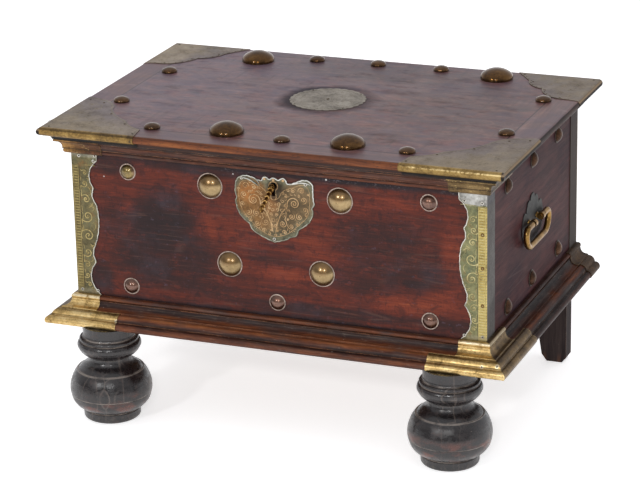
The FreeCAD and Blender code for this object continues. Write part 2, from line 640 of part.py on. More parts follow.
# ---------------------------------------------------------------- drop handles on the ends
gy, gz = num(deep(D.grip_set)), num(D.grip_level)
PLATE = [(0.0, 28.6), ("arc", (-5.4, 27.4), (-7.6, 22.4)), ("arc", (-11.6, 23.8), (-17.6, 21.2)),
         ("arc", (-20.2, 17.0), (-21.6, 11.6)), ("arc", (-28.0, 13.8), (-33.4, 9.4)), ("arc", (-36.6, -3.0), (-32.4, -15.6)),
         ("arc", (-26.4, -19.8), (-19.8, -20.4)), ("arc", (-15.0, -26.2), (-6.4, -25.6)), ("arc", (-3.4, -29.0), (0.0, -30.4))]
left_half = mirror_path(PLATE, lambda v: v)
right_half = []
points_only = []
for item in PLATE:
    points_only.append(item[2] if item[0] == "arc" else item)
vias = [item[1] if item[0] == "arc" else None for item in PLATE]
for index in range(len(PLATE) - 1, 0, -1):
    end = points_only[index - 1]
    right_half.append(("arc", (-vias[index][0], vias[index][1]), (-end[0], end[1])))
grip_outline = [(gy + y, gz + z) for y, z in [points_only[0]]]
for item in PLATE[1:] + right_half:
    grip_outline.append(("arc", (gy + item[1][0], gz + item[1][1]), (gy + item[2][0], gz + item[2][1])))

eye_off = num(D.grip_plate + D.eye_stand)
post_solid = turned("handle_post_stem", [(0, 1.0), (3.4, 1.0), (3.2, 2.0), (2.4, 3.0), (2.4, eye_off), (0, eye_off)])
post_shank = rod("handle_post_shank", 2.0, 12.4, 0, 0, -11.4)
post_eye = rod("handle_post_eye", D.eye_radius, 6.0, 0, 3.0, D.grip_plate + D.eye_stand, ALONG_FRONT)
post_bore = rod("handle_post_bore", D.bail_pin + D.bail_fit, 8.0, 0, 4.0, D.grip_plate + D.eye_stand, ALONG_FRONT)
post_whole = cut("handle_post", join("handle_post_blank", [post_solid, post_shank, post_eye]), post_bore)

gh, gd = num(D.grip_half), num(D.grip_drop)
for side, label, turn in ((1, "right", Rot(V(0, 1, 0), 90)), (-1, "left", Rot(V(0, 1, 0), -90))):
    sheet_body = prism(label + "_plate_raw", "YZ_Plane", grip_outline, D.grip_plate,
                       offset=HALF if side > 0 else -(HALF + D.grip_plate), path=True)
    ways = spread(label + "_plate_ways", post_way, [(side * (HALF + 1.0), y, z) for y, z in GRIP], turn)
    node(cut(label + "_plate", sheet_body, ways), label + "_handle_backplate")
    node(spread(label + "_posts", post_whole, [(side * HALF, y, z) for y, z in GRIP], turn), label + "_handle_posts")
    # bail: two pins through the eyes, square shoulders, straight cheeks and rounded lower corners
    x = side * (half_n + eye_off)
    pin_in = num(D.grip_post) - 5.0
    knee, bend = 7.0, 15.2
    pin_out = num(D.grip_post) + 5.2
    line = [(-pin_out, 0.0), (-(gh - knee), 0.0), ("arc", (-(gh - knee * 0.2929), -knee * 0.2929), (-gh, -knee)),
            (-gh, -(gd - bend)), ("arc", (-(gh - bend * 0.2929), -(gd - bend * 0.2929)), (-(gh - bend), -gd)),
            ((gh - bend), -gd), ("arc", ((gh - bend * 0.2929), -(gd - bend * 0.2929)), (gh, -(gd - bend))),
            (gh, -knee), ("arc", ((gh - knee * 0.2929), -knee * 0.2929), (gh - knee, 0.0)), (pin_out, 0.0)]
    edges = []
    for geometry in path_geometry(line, closed=False):
        edges.append(placed(geometry.toShape(), V(0, 1, 0), V(0, 0, 1), V(1, 0, 0), V(x, gy, gz)))
    spine = Part.Wire(edges)
    start = V(x, gy - pin_out, gz)
    ring = Part.Wire([Part.Circle(start, V(0, 1, 0), num(D.bail_radius)).toShape()])
    bar = spine.makePipeShell([ring], True, False)
    want = math.pi * num(D.bail_radius) ** 2 * spine.Length
    print(label, "bail volume ratio", round(bar.Volume / want, 4))
    for sense in (-1, 1):
        base = V(x, gy + sense * (pin_out + 0.5), gz)
        bar = bar.fuse(Part.makeCylinder(num(D.bail_pin), pin_out + 0.5 - pin_in, base, V(0, -sense, 0)))
    node(raw(label + "_bail", keep_main(bar.removeSplitter(), label + " bail")), label + "_handle_bail")

# ---------------------------------------------------------------- lock, screws, bolt and key
half_lock = D.lock_wide / 2
lock_y0, lock_y1 = deep(D.board_thick), deep(D.board_thick + D.lock_deep)
w = D.lock_wall
shell = cut("lock_shell", join("lock_blank", [
    block("lock_outer", -half_lock, half_lock, lock_y0, lock_y1, D.lock_low, D.lock_high),
    block("lock_ears", -46.0, 46.0, lock_y0, lock_y0 + w, 266.0, 308.0)]),
    join("lock_voids", [
        block("lock_inner", -half_lock + w, half_lock - w, lock_y0 - 1.0, lock_y1 - w, D.lock_low + w, D.lock_high - w),
        block("staple_slot", 15.2, 20.0, deep(16.8), deep(26.2), D.lock_high - 2.5, D.lock_high + 1.0),
        spread("ear_ways", screw_way, [(x, deep(D.board_thick - 0.2), z) for x, z in SCREWS], ALONG_BACK)]))
pivot = rod("lock_pivot", 1.2, 8.0, 0, deep(D.board_thick + D.lock_deep - 0.5), D.key_level, ALONG_FRONT)
guides = [
    block("guide_low_left", -half_lock + w, -12.0, deep(19.4), lock_y1 - w, 287.0, D.bolt_low - 0.1),
    block("guide_low_right", 11.6, 14.9, deep(19.4), lock_y1 - w, 287.0, D.bolt_low - 0.1),
    block("guide_top_left", -half_lock + w, -25.0, deep(19.4), lock_y1 - w, D.bolt_high + 0.1, 299.4)]
node(join("lock_body", [shell] + guides), "lock_case")
spring = prism("lock_leaf", "XZ_Plane", [(-22.0, 310.5), (-22.0, 308.9), (-20.4, 308.9), (11.0, 299.2), (12.0, 299.2),
                                         (12.0, 299.9), (11.2, 299.9), (-19.4, 309.4), (-19.4, 310.5)],
               3.0, offset=-(deep(23.0)))
node(spring, "lock_spring")
screw = turned("lock_screw", [(0, 2.9), dome(3.4, 1.5, 2.9), (1.5, 1.5), (1.5, -7.0), (0.3, -9.0), (0, -9.0)])
node(spread("lock_screw_set", screw, [(x, lock_y0, z) for x, z in SCREWS], ALONG_BACK), "lock_screws")

bolt_y0 = deep(D.bolt_set)
bolt_plan = [(-29.0, D.bolt_low), (-12.0, D.bolt_low), (-12.0, D.bolt_low + 2.7), (3.0, D.bolt_low + 2.7),
             (3.0, D.bolt_low), (14.4, D.bolt_low), (14.4, D.bolt_high), (-29.0, D.bolt_high)]
node(prism("bolt_plate", "XZ_Plane", bolt_plan, D.bolt_thick, offset=-(bolt_y0 + D.bolt_thick)), "lock_bolt")

# Key: a straight shank in the lock, then a beaded stem that is bent down to a small ring at its end.
kz = num(D.key_level)
tilt = 27.0
shank = rod("key_shank", D.shank_radius, 32.0, 0, deep(27.0), D.key_level, ALONG_FRONT)
bore = rod("key_bore", 1.3, 9.0, 0, deep(27.4), D.key_level, ALONG_FRONT)
bit = block("key_bit", -D.bit_thick / 2, D.bit_thick / 2, deep(18.6), deep(24.4), D.key_level - D.bit_reach, D.key_level - 1.9)
stem_profile = [(0, -1.0), (2.45, -1.0), (2.45, 1.6), ("arc", (3.7, 3.2), (2.3, 4.8)), (2.1, 7.4), ("arc", (3.2, 8.6), (2.1, 9.8)),
                (2.0, 13.6), ("arc", (3.1, 14.8), (2.0, 16.0)), (1.9, 20.4), ("arc", (2.9, 21.6), (1.8, 22.8)), (1.7, 26.6),
                ("arc", (2.7, 27.6), (1.7, 28.6)), (1.6, 30.0), (0, 30.0)]
stem = turned("key_stem", stem_profile)
stem_turn = Rot(V(1, 0, 0), 90 + tilt)
at(stem, 0, deep(-4.6), D.key_level, stem_turn)
away = stem_turn.multVec(V(0, 0, 1))
ring_at = V(0, num(deep(-4.6)), kz) + away * 32.4
eye = doc.addObject("Part::Torus", "key_ring")
eye.Radius1, eye.Radius2 = 2.9, 1.2
eye.Placement = Place(ring_at, Rot(V(0, 1, 0), 90))
elbow = doc.addObject("Part::Sphere", "key_elbow")
bind(elbow, "Radius", D.shank_radius + 0.9)
at(elbow, 0, deep(-4.9), D.key_level)
node(cut("key_cut", join("key_blank", [shank, bit, elbow, stem, eye]), bore), "key")

# ---------------------------------------------------------------- hinges on the back
hy, hz = deep(D.hinge_set), D.hinge_level
segment = 7.0
body_straps, pins, lid_straps = [], [], []
leaf_z0, leaf_z1 = D.lid_low, D.lid_low + D.hinge_leaf
for index, centre in enumerate((-D.hinge_place, D.hinge_place)):
    tag = "hinge%d_" % index
    x0, x1 = centre - D.hinge_wide / 2, centre + D.hinge_wide / 2
    plate = block(tag + "plate", x0, x1, BACK, BACK + D.hinge_leaf, hz - D.hinge_drop, hz)
    outer = [rod(tag + "fixed_a", D.knuckle_radius, segment, x0, hy, hz, ALONG_X),
             rod(tag + "fixed_b", D.knuckle_radius, segment, x1 - segment, hy, hz, ALONG_X)]
    relief = block(tag + "relief", x0 + segment - 0.001, x1 - segment + 0.001, BACK - 0.5, BACK + 6.0, hz - 2.6, hz + 4.0)
    bore_way = rod(tag + "fixed_bore", D.hinge_pin, D.hinge_wide + 4.0, x0 - 2.0, hy, hz, ALONG_X)
    webs = [block(tag + "web_a", x0, x0 + segment, BACK, hy, hz - 2.6, hz),
            block(tag + "web_b", x1 - segment, x1, BACK, hy, hz - 2.6, hz)]
    body_straps.append(cut(tag + "fixed", cut(tag + "fixed_blank", join(tag + "fixed_join", [plate] + outer + webs), relief), bore_way))
    pins.append(rod(tag + "pin", D.hinge_pin, D.hinge_wide, x0, hy, hz, ALONG_X))
    inner = rod(tag + "moving", D.knuckle_radius, D.hinge_wide - 2 * segment - 0.4, x0 + segment + 0.2, hy, hz, ALONG_X)
    neck = block(tag + "neck", x0 + segment + 0.2, x1 - segment - 0.2, hy - 1.9, hy + 1.5, hz, leaf_z1)
    leaf = block(tag + "leaf", x0, x1, deep(D.body_deep - D.hinge_reach), hy + 1.5, leaf_z0, leaf_z1)
    # stop lug, drawn where it lands on the fixed leaf and turned back by the full opening
    a = math.radians(105.3)
    corners = []
    for yy, zz in ((-2.28, -4.5), (-0.4, -4.5), (-0.4, -1.6), (-2.28, -1.6)):
        corners.append((num(hy) + yy * math.cos(a) - zz * math.sin(a), num(hz) + yy * math.sin(a) + zz * math.cos(a)))
    lug = prism(tag + "lug", "YZ_Plane", corners, D.hinge_wide - 2 * segment - 0.4, offset=x0 + segment + 0.2)
    moving_way = rod(tag + "moving_bore", D.hinge_pin + D.pin_fit, D.hinge_wide, x0, hy, hz, ALONG_X)
    lid_straps.append(cut(tag + "swing", join(tag + "swing_blank", [inner, neck, leaf, lug]), moving_way))
node(group("body_strap_pair", body_straps), "hinge_body_straps")
node(group("hinge_pin_pair", pins), "hinge_pins")
node(group("lid_strap_pair", lid_straps), "hinge_lid_straps")

# ---------------------------------------------------------------- lid: panel, mitred moulded frame and rim
LH, LL = num(D.lid_high), num(D.lid_low)
inner_o = num(D.lid_over) - num(D.frame_wide)
panel_half = half_n + inner_o
panel_front = front_n - inner_o
lid_rear = back_n + num(D.lid_back)
panel = prism("lid_panel_raw", "XY_Plane", [
    (-(HALF + D.lid_over - D.frame_wide), FRONT - D.lid_over + D.frame_wide), (HALF + D.lid_over - D.frame_wide, FRONT - D.lid_over + D.frame_wide),
    (HALF + D.lid_over - D.frame_wide, BACK + D.lid_back), (-(HALF + D.lid_over - D.frame_wide), BACK + D.lid_back)],
    D.lid_high - D.lid_low, offset=D.lid_low)
leaf_ways = [block("leaf_way_%d" % i, c - D.hinge_wide / 2 - 0.05, c + D.hinge_wide / 2 + 0.05, deep(D.body_deep - D.hinge_reach) - 0.05,
                   BACK + D.lid_back + 1.0, D.lid_low - 1.0, leaf_z1 + 0.02) for i, c in enumerate((-D.hinge_place, D.hinge_place))]
hasp_way = block("hasp_way", 4.95, 30.05, deep(13.95), deep(30.05), D.lid_low - 1.0, leaf_z1 + 0.02)
lid_holes = holes("lid_holes", lid_spots, UP)
node(cut("lid_panel_cut", panel, group("lid_ways", leaf_ways + [hasp_way, lid_holes])), "lid_panel")

lid_edge = [(14.5, LL), ("arc", (16.6, LL + 4.0), (22.0, LL + 5.7)), (22.4, LL + 6.3), (23.6, LL + 6.5),
            ("arc", (27.0, LL + 10.2), (23.6, LH))]
lid_profile = [(inner_o, LL)] + lid_edge + [(inner_o, LH)]


def wire_face(path):
    return Part.Face(Part.Wire(Part.__sortEdges__([g.toShape() for g in path_geometry(path)])))


mitre_front = prism("lid_front_mitre", "XY_Plane", [
    (-half_n - 40.0, front_n - 40.0), (half_n + 40.0, front_n - 40.0), (panel_half - 20, panel_front + 20),
    (-panel_half + 20, panel_front + 20)], 60.0, offset=290.0)
front_border = prism("lid_front_raw", "YZ_Plane", mirror_path(lid_profile, lambda o: front_n - o), 2 * reach, path=True, midplane=True)
node(common("lid_front_frame", front_border, mitre_front), "lid_front_border")
ring_low, gap = num(D.rim_low), num(D.rim_gap)
rim_profile = [(gap, LL), (gap, ring_low), (3.2, ring_low), ("arc", (6.3, ring_low + 2.6), (4.6, ring_low + 5.0)), (6.9, ring_low + 5.2),
               ("arc", (8.3, ring_low + 11.0), (12.3, ring_low + 14.0)), (14.0, ring_low + 14.3), (14.0, LL)]
front_rim = prism("rim_front_raw", "YZ_Plane", mirror_path(rim_profile, lambda o: front_n - o), 2 * reach, path=True, midplane=True)
node(common("rim_front", front_rim, mitre_front), "lid_rim_front")
for side, label in ((1, "right"), (-1, "left")):
    zone = prism("lid_%s_mitre" % label, "XY_Plane", [
        (side * (half_n + 40.0), front_n - 40.0), (side * (half_n + 40.0), lid_rear), (side * (panel_half - 20), lid_rear),
        (side * (panel_half - 20), panel_front + 20)], 60.0, offset=290.0)
    border = prism("lid_%s_raw" % label, "XZ_Plane", mirror_path(lid_profile, lambda o: side * (half_n + o)),
                   lid_rear - front_n + 45.0, offset=-(lid_rear + 1.0), path=True)
    node(common("lid_%s_frame" % label, border, zone), "lid_%s_border" % label)
    rim = prism("rim_%s_raw" % label, "XZ_Plane", mirror_path(rim_profile, lambda o: side * (half_n + o)),
                lid_rear - front_n + 45.0, offset=-(lid_rear + 1.0), path=True)
    node(common("rim_" + label, rim, zone), "lid_rim_%s" % label)

# ---------------------------------------------------------------- brass on the lid
pt = num(D.plate_thick)
edge_window = [(14.6, LL), (40.0, LL), (40.0, LH + 5.0), (22.9, LH + 5.0), (22.9, LH - 3.0), (14.6, LH - 3.0)]
edge_face = skin_face(lid_profile, pt, edge_window)
zt = LH


def top_sheet(points):
    wire = Part.Wire(Part.__sortEdges__([g.toShape() for g in path_geometry(points)]))
    face = Part.Face(wire)
    face.translate(V(0, 0, zt))
    return face.extrude(V(0, 0, pt))


for side, label in ((-1, "left"), (1, "right")):
    s = side
    y = lambda d: num(deep(d))
    outer = half_n + 23.6
    outline = [(s * outer, y(-23.6)), (s * 148.0, y(-23.6)), (s * 152.0, y(1.0)), ("arc", (s * 166.0, y(9.0)), (s * 179.0, y(26.0))),
               ("arc", (s * 197.0, y(40.0)), (s * 213.0, y(64.0))), ("arc", (s * 224.0, y(84.0)), (s * 241.0, y(93.0))),
               (s * outer, y(98.0))]
    fold = corner_skin(edge_face, side, [(LL - 1, LH + 3, 148.0)], [(LL - 1, LH + 3, 98.0)])
    shape = top_sheet(outline).fuse(fold).removeSplitter()
    node(raw("lid_plate_front_%s_sheet" % label, keep_main(shape, "front lid plate")), "lid_plate_front_" + label)

    rim_face = skin_face(rim_profile, pt, [(2.2, ring_low - 5.0), (40.0, ring_low - 5.0), (40.0, LL - 0.75), (2.2, LL - 0.75)])
    cap = corner_skin(rim_face, side, [(290.0, 316.0, 195.0)], [(290.0, 316.0, 66.0)])
    node(raw("lid_rim_cap_%s_sheet" % label, keep_main(cap, "rim cap")), "lid_rim_cap_front_" + label)

    outline = [(s * outer, lid_rear), (s * 164.0, lid_rear), ("arc", (s * 174.0, y(318.0)), (s * 184.0, y(304.0))),
               ("arc", (s * 192.0, y(287.0)), (s * 207.0, y(278.0))), ("arc", (s * 216.0, y(258.0)), (s * 232.0, y(247.0))),
               (s * outer, y(242.0))]
    fold = along_y(edge_face, side, num(deep(242.0)), lid_rear)
    shape = top_sheet(outline).fuse(fold).removeSplitter()
    node(raw("lid_plate_back_%s_sheet" % label, keep_main(shape, "back lid plate")), "lid_plate_back_" + label)

petals = 28
mr, mx, my = num(D.medal_radius), num(D.medal_place), num(deep(D.medal_set))
medal = [(mx + mr - 1.4, my)]
for index in range(petals):
    a0 = 2 * math.pi * (index + 0.5) / petals
    a1 = 2 * math.pi * (index + 1.0) / petals
    r1 = mr - 1.4
    medal.append(("arc", (mx + (mr + 0.2) * math.cos(a0), my + (mr + 0.2) * math.sin(a0)),
                  (mx + r1 * math.cos(a1), my + r1 * math.sin(a1))))
node(prism("medallion", "XY_Plane", medal, D.plate_thick, offset=D.lid_high, path=True), "lid_medallion")

lid_big = nail("lid_big_nail", D.lid_boss_big, D.lid_boss_big_rise, False, 0.0, True)
lid_small = nail("lid_small_nail", D.lid_boss_small, D.lid_boss_small_rise, False, 0.0, True)
node(spread("lid_big_set", lid_big, [(x, deep(y_), D.lid_high) for x, y_ in LID_BIG]), "lid_large_bosses")
node(spread("lid_small_set", lid_small, [(x, deep(y_), D.lid_high) for x, y_ in LID_SMALL]), "lid_small_bosses")

hasp = cut("hasp", join("hasp_blank", [
    block("hasp_plate", 5.0, 30.0, deep(14.0), deep(30.0), leaf_z0, leaf_z1),
    block("hasp_tongue", 16.0, 19.0, deep(18.2), deep(25.0), 285.8, leaf_z0 + 0.5)]),
    block("hasp_eye", 15.0, 20.0, deep(19.6), deep(23.4), 288.4, 298.3))
node(hasp, "lid_hasp")

# ---------------------------------------------------------------- recompute, test and write
doc.recompute()
bad = [o.Name for o in doc.Objects if any(word in ("Invalid", "Error") for word in o.State)]
if bad:
    raise SystemExit("objects that failed: %s" % bad)
for label, obj in NODES:
    shape = obj.Shape
    if shape.isNull() or not shape.isValid() or not shape.Solids:
        raise SystemExit("bad shape: %s" % label)
for label, obj in NODES:
    obj.Shape.exportStep("parts/%s.step" % label)
print(len(NODES), "nodes written")
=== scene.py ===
import math

import bpy
from mathutils import Matrix, Vector


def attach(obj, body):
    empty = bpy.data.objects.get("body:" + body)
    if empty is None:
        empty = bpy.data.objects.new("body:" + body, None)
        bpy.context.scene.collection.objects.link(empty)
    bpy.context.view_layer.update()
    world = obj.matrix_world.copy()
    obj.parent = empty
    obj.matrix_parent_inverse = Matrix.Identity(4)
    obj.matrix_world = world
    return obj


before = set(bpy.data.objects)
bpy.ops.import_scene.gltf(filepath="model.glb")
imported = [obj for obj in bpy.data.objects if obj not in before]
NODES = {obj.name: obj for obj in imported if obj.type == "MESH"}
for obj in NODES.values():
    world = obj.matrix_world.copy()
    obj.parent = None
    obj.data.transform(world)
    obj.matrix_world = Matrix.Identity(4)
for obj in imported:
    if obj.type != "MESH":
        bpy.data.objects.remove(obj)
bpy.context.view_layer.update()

MM = 0.001
SHIFT = 141.07          # depth from the front face of the carcass to the origin, mm
HALF = 233.3            # half width of the carcass, mm
BOSS_PLACES = [(-72.6, 274.3), (74.2, 273.0), (-52.4, 189.1), (52.6, 189.9)]   # large nails of the front: x, z


def rgb(r, g, b):
    out = []
    for c in (r, g, b):
        c = c / 255.0
        out.append(c / 12.92 if c <= 0.04045 else ((c + 0.055) / 1.055) ** 2.4)
    return (out[0], out[1], out[2], 1.0)


# ------------------------------------------------------------------ node trees in few words
class Shade:
    """One procedural material. p is the place on the object in millimetres, in the frame's own axes."""

    def __init__(self, name):
        self.mat = bpy.data.materials.new(name)
        self.mat.use_nodes = True
        self.nt = self.mat.node_tree
        self.nt.nodes.clear()
        out = self.new("ShaderNodeOutputMaterial")
        self.bsdf = self.new("ShaderNodeBsdfPrincipled")
        self.nt.links.new(self.bsdf.outputs["BSDF"], out.inputs["Surface"])
        self.obj = self.new("ShaderNodeTexCoord").outputs["Object"]
        self.p = self.scaled(self.obj, (1000, 1000, 1000))
        x = self.new("ShaderNodeSeparateXYZ")
        self.link(self.p, x.inputs[0])
        self.x, self.y, self.z = x.outputs

    def new(self, kind, **settings):
        n = self.nt.nodes.new(kind)
        for key, value in settings.items():
            setattr(n, key, value)
        return n

    def link(self, value, socket):
        if isinstance(value, bpy.types.NodeSocket):
            self.nt.links.new(value, socket)
        else:
            socket.default_value = value

    def scaled(self, vec, scale, move=(0, 0, 0)):
        n = self.new("ShaderNodeMapping")
        self.link(vec, n.inputs["Vector"])
        n.inputs["Scale"].default_value = scale
        n.inputs["Location"].default_value = move
        return n.outputs[0]

    def noise(self, vec, detail=3.0, rough=0.55, distort=0.0, scale=1.0, colour=False, lac=2.0):
        n = self.new("ShaderNodeTexNoise")
        self.link(vec, n.inputs["Vector"])
        n.inputs["Scale"].default_value = scale
        n.inputs["Detail"].default_value = detail
        n.inputs["Roughness"].default_value = rough
        n.inputs["Lacunarity"].default_value = lac
        n.inputs["Distortion"].default_value = distort
        return n.outputs["Color" if colour else 0]

    def cells(self, vec, scale=1.0, feature="F1", output="Distance", rand=1.0, smooth=None):
        n = self.new("ShaderNodeTexVoronoi", feature=feature)
        self.link(vec, n.inputs["Vector"])
        n.inputs["Scale"].default_value = scale
        n.inputs["Randomness"].default_value = rand
        if smooth is not None:
            n.inputs["Smoothness"].default_value = smooth
        return n.outputs[output]

    def waves(self, vec, scale=1.0, distort=0.0, detail=2.0, dscale=1.0, axis="X", kind="BANDS"):
        n = self.new("ShaderNodeTexWave", wave_type=kind)
        if kind == "BANDS":
            n.bands_direction = axis
        else:
            n.rings_direction = axis
        self.link(vec, n.inputs["Vector"])
        n.inputs["Scale"].default_value = scale
        n.inputs["Distortion"].default_value = distort
        n.inputs["Detail"].default_value = detail
        n.inputs["Detail Scale"].default_value = dscale
        return n.outputs["Fac"]

    def m(self, op, a, b=0.0, c=0.0, clamp=False):
        n = self.new("ShaderNodeMath", operation=op, use_clamp=clamp)
        self.link(a, n.inputs[0])
        self.link(b, n.inputs[1])
        self.link(c, n.inputs[2])
        return n.outputs[0]

    def add(self, a, b):
        return self.m("ADD", a, b)

    def sub(self, a, b):
        return self.m("SUBTRACT", a, b)

    def mul(self, a, b):
        return self.m("MULTIPLY", a, b)

    def top(self, a, b):
        return self.m("MAXIMUM", a, b)

    def low(self, a, b):
        return self.m("MINIMUM", a, b)

    def fit(self, v, a, b, c=0.0, d=1.0, smooth=True):
        """v from a..b becomes c..d, held outside."""
        n = self.new("ShaderNodeMapRange", interpolation_type="SMOOTHSTEP" if smooth else "LINEAR", clamp=True)
        for i, w in enumerate((v, a, b, c, d)):
            self.link(w, n.inputs[i])
        return n.outputs[0]

    def mixc(self, f, a, b, mode="MIX"):
        n = self.new("ShaderNodeMix", data_type="RGBA", blend_type=mode, clamp_factor=True)
        self.link(f, n.inputs[0])
        self.link(a, n.inputs[6])
        self.link(b, n.inputs[7])
        return n.outputs[2]

    def mixf(self, f, a, b):
        n = self.new("ShaderNodeMix", data_type="FLOAT", clamp_factor=True)
        self.link(f, n.inputs[0])
        self.link(a, n.inputs[2])
        self.link(b, n.inputs[3])
        return n.outputs[0]

    def ramp(self, f, stops, mode="LINEAR"):
        n = self.new("ShaderNodeValToRGB")
        n.color_ramp.interpolation = mode
        e = n.color_ramp.elements
        while len(e) < len(stops):
            e.new(0.5)
        for i, (pos, colour) in enumerate(stops):
            e[i].position = pos
            e[i].color = colour if not isinstance(colour, (int, float)) else (colour, colour, colour, 1)
        self.link(f, n.inputs[0])
        return n.outputs[0]

    def band(self, v, centre, half, soft):
        """1 where v lies within half of centre, fading over soft."""
        d = self.m("ABSOLUTE", self.sub(v, centre))
        return self.fit(d, half, half + soft, 1.0, 0.0)

    def patch(self, places, rough=None, amount=0.5, inner=0.35, outer=1.15):
        """Highest of several soft ellipsoids (x, y, z, rx, ry, rz, strength), with ragged borders."""
        best = None
        for x, y, z, rx, ry, rz, strength in places:
            v = self.scaled(self.p, (1 / rx, 1 / ry, 1 / rz), (-x / rx, -y / ry, -z / rz))
            n = self.new("ShaderNodeVectorMath", operation="LENGTH")
            self.link(v, n.inputs[0])
            d = n.outputs["Value"]
            if rough is not None:
                d = self.add(d, self.mul(self.sub(rough, 0.5), amount))
            f = self.mul(self.fit(d, inner, outer, 1.0, 0.0), strength)
            best = f if best is None else self.top(best, f)
        return best

    def bump(self, height, strength=0.5, distance=0.3, under=None):
        n = self.new("ShaderNodeBump")
        n.inputs["Strength"].default_value = strength
        n.inputs["Distance"].default_value = distance * MM
        self.link(height, n.inputs["Height"])
        if under is not None:
            self.link(under, n.inputs["Normal"])
        return n.outputs[0]

    def soft_edge(self, radius, samples=4):
        n = self.new("ShaderNodeBevel")
        n.samples = samples
        n.inputs["Radius"].default_value = radius * MM
        return n.outputs[0]

    def edges(self, radius, lo=0.02, hi=0.25, samples=4):
        """1 near a sharp edge of the shape, 0 on its flats."""
        a = self.soft_edge(radius, samples)
        g = self.new("ShaderNodeNewGeometry")
        d = self.new("ShaderNodeVectorMath", operation="DOT_PRODUCT")
        self.link(a, d.inputs[0])
        self.link(g.outputs["Normal"], d.inputs[1])
        return self.fit(self.sub(1.0, d.outputs["Value"]), lo, hi)

    def occlusion_shade(self, distance, samples=6, only_local=False):
        """1 deep in a corner, 0 in the open: the mask for painted shade in corners and creases."""
        n = self.new("ShaderNodeAmbientOcclusion")
        n.samples = samples
        n.only_local = only_local
        n.inputs["Distance"].default_value = distance * MM
        return self.sub(1.0, n.outputs["AO"])

    def finish(self, colour, rough, metal=0.0, normal=None, **fixed):
        self.link(colour, self.bsdf.inputs["Base Color"])
        self.link(rough, self.bsdf.inputs["Roughness"])
        self.bsdf.inputs["Metallic"].default_value = 0.0
        self.link(metal, self.bsdf.inputs["Metallic"])
        if normal is not None:
            self.link(normal, self.bsdf.inputs["Normal"])
        for key, value in fixed.items():
            self.bsdf.inputs[key.replace("_", " ")].default_value = value
        return self.mat


def grain(s, along, vec=None, distort=0.35):
    """Streaks of hardwood along one axis: broad, middle and fine, each about 0..1."""
    vec = s.p if vec is None else vec
    wob = s.scaled(vec, (0.013, 0.013, 0.013))
    shift = s.noise(wob, detail=2.0, colour=True)
    n = s.new("ShaderNodeVectorMath", operation="MULTIPLY_ADD")
    s.link(shift, n.inputs[0])
    n.inputs[1].default_value = tuple(0.0 if a == along else 9.0 * distort / 0.35 for a in "XYZ")
    s.link(vec, n.inputs[2])
    v = n.outputs[0]

    def sc(a, b):
        return tuple(a if c == along else b for c in "XYZ")

    broad = s.noise(s.scaled(v, sc(0.0055, 0.07)), detail=3.0, rough=0.6, distort=0.3)
    mid = s.noise(s.scaled(v, sc(0.014, 0.26), (3.1, 1.7, 5.2)), detail=5.0, rough=0.62)
    fine = s.noise(s.scaled(v, sc(0.06, 1.35), (7.7, 2.3, 0.4)), detail=4.0, rough=0.7)
    return broad, mid, fine


def specks(s, spacing, size, keep, seed=0.0):
    """Small pale dots, thinly strewn."""
    v = s.scaled(s.p, (1 / spacing,) * 3, (seed, seed * 1.7, seed * 0.6))
    d = s.cells(v)
    c = s.cells(v, output="Color")
    sep = s.new("ShaderNodeSeparateColor")
    s.link(c, sep.inputs[0])
    chosen = s.fit(sep.outputs[0], keep, keep + 0.02, 1.0, 0.0)
    dot = s.fit(s.add(d, s.mul(sep.outputs[1], size * 0.9)), size * 0.7, size * 1.5, 1.0, 0.0)
    return s.mul(dot, chosen)


def scratches(s, along, spacing=1.0, seed=0.0):
    """Long hair-thin marks, mostly along one axis."""
    out = None
    for k, (turn, a, b) in enumerate(((0.10, 0.022, 0.75), (-0.22, 0.03, 0.6))):
        n = s.new("ShaderNodeMapping")
        s.link(s.p, n.inputs["Vector"])
        n.inputs["Rotation"].default_value = {"X": (0.3, turn, turn), "Y": (turn, 0.3, turn), "Z": (turn, turn, 0.3)}[along]
        n.inputs["Scale"].default_value = tuple((a if c == along else b) / spacing for c in "XYZ")
        n.inputs["Location"].default_value = (seed + k * 3.3, seed * 2 + k, seed + k * 7)
        e = s.cells(n.outputs[0], feature="DISTANCE_TO_EDGE")
        line = s.fit(e, 0.0, 0.035, 1.0, 0.0)
        where = s.fit(s.noise(s.scaled(s.p, (0.02, 0.02, 0.02), (seed + k, 0, 0)), detail=2.0), 0.5, 0.68)
        line = s.mul(line, where)
        out = line if out is None else s.top(out, line)
    return out


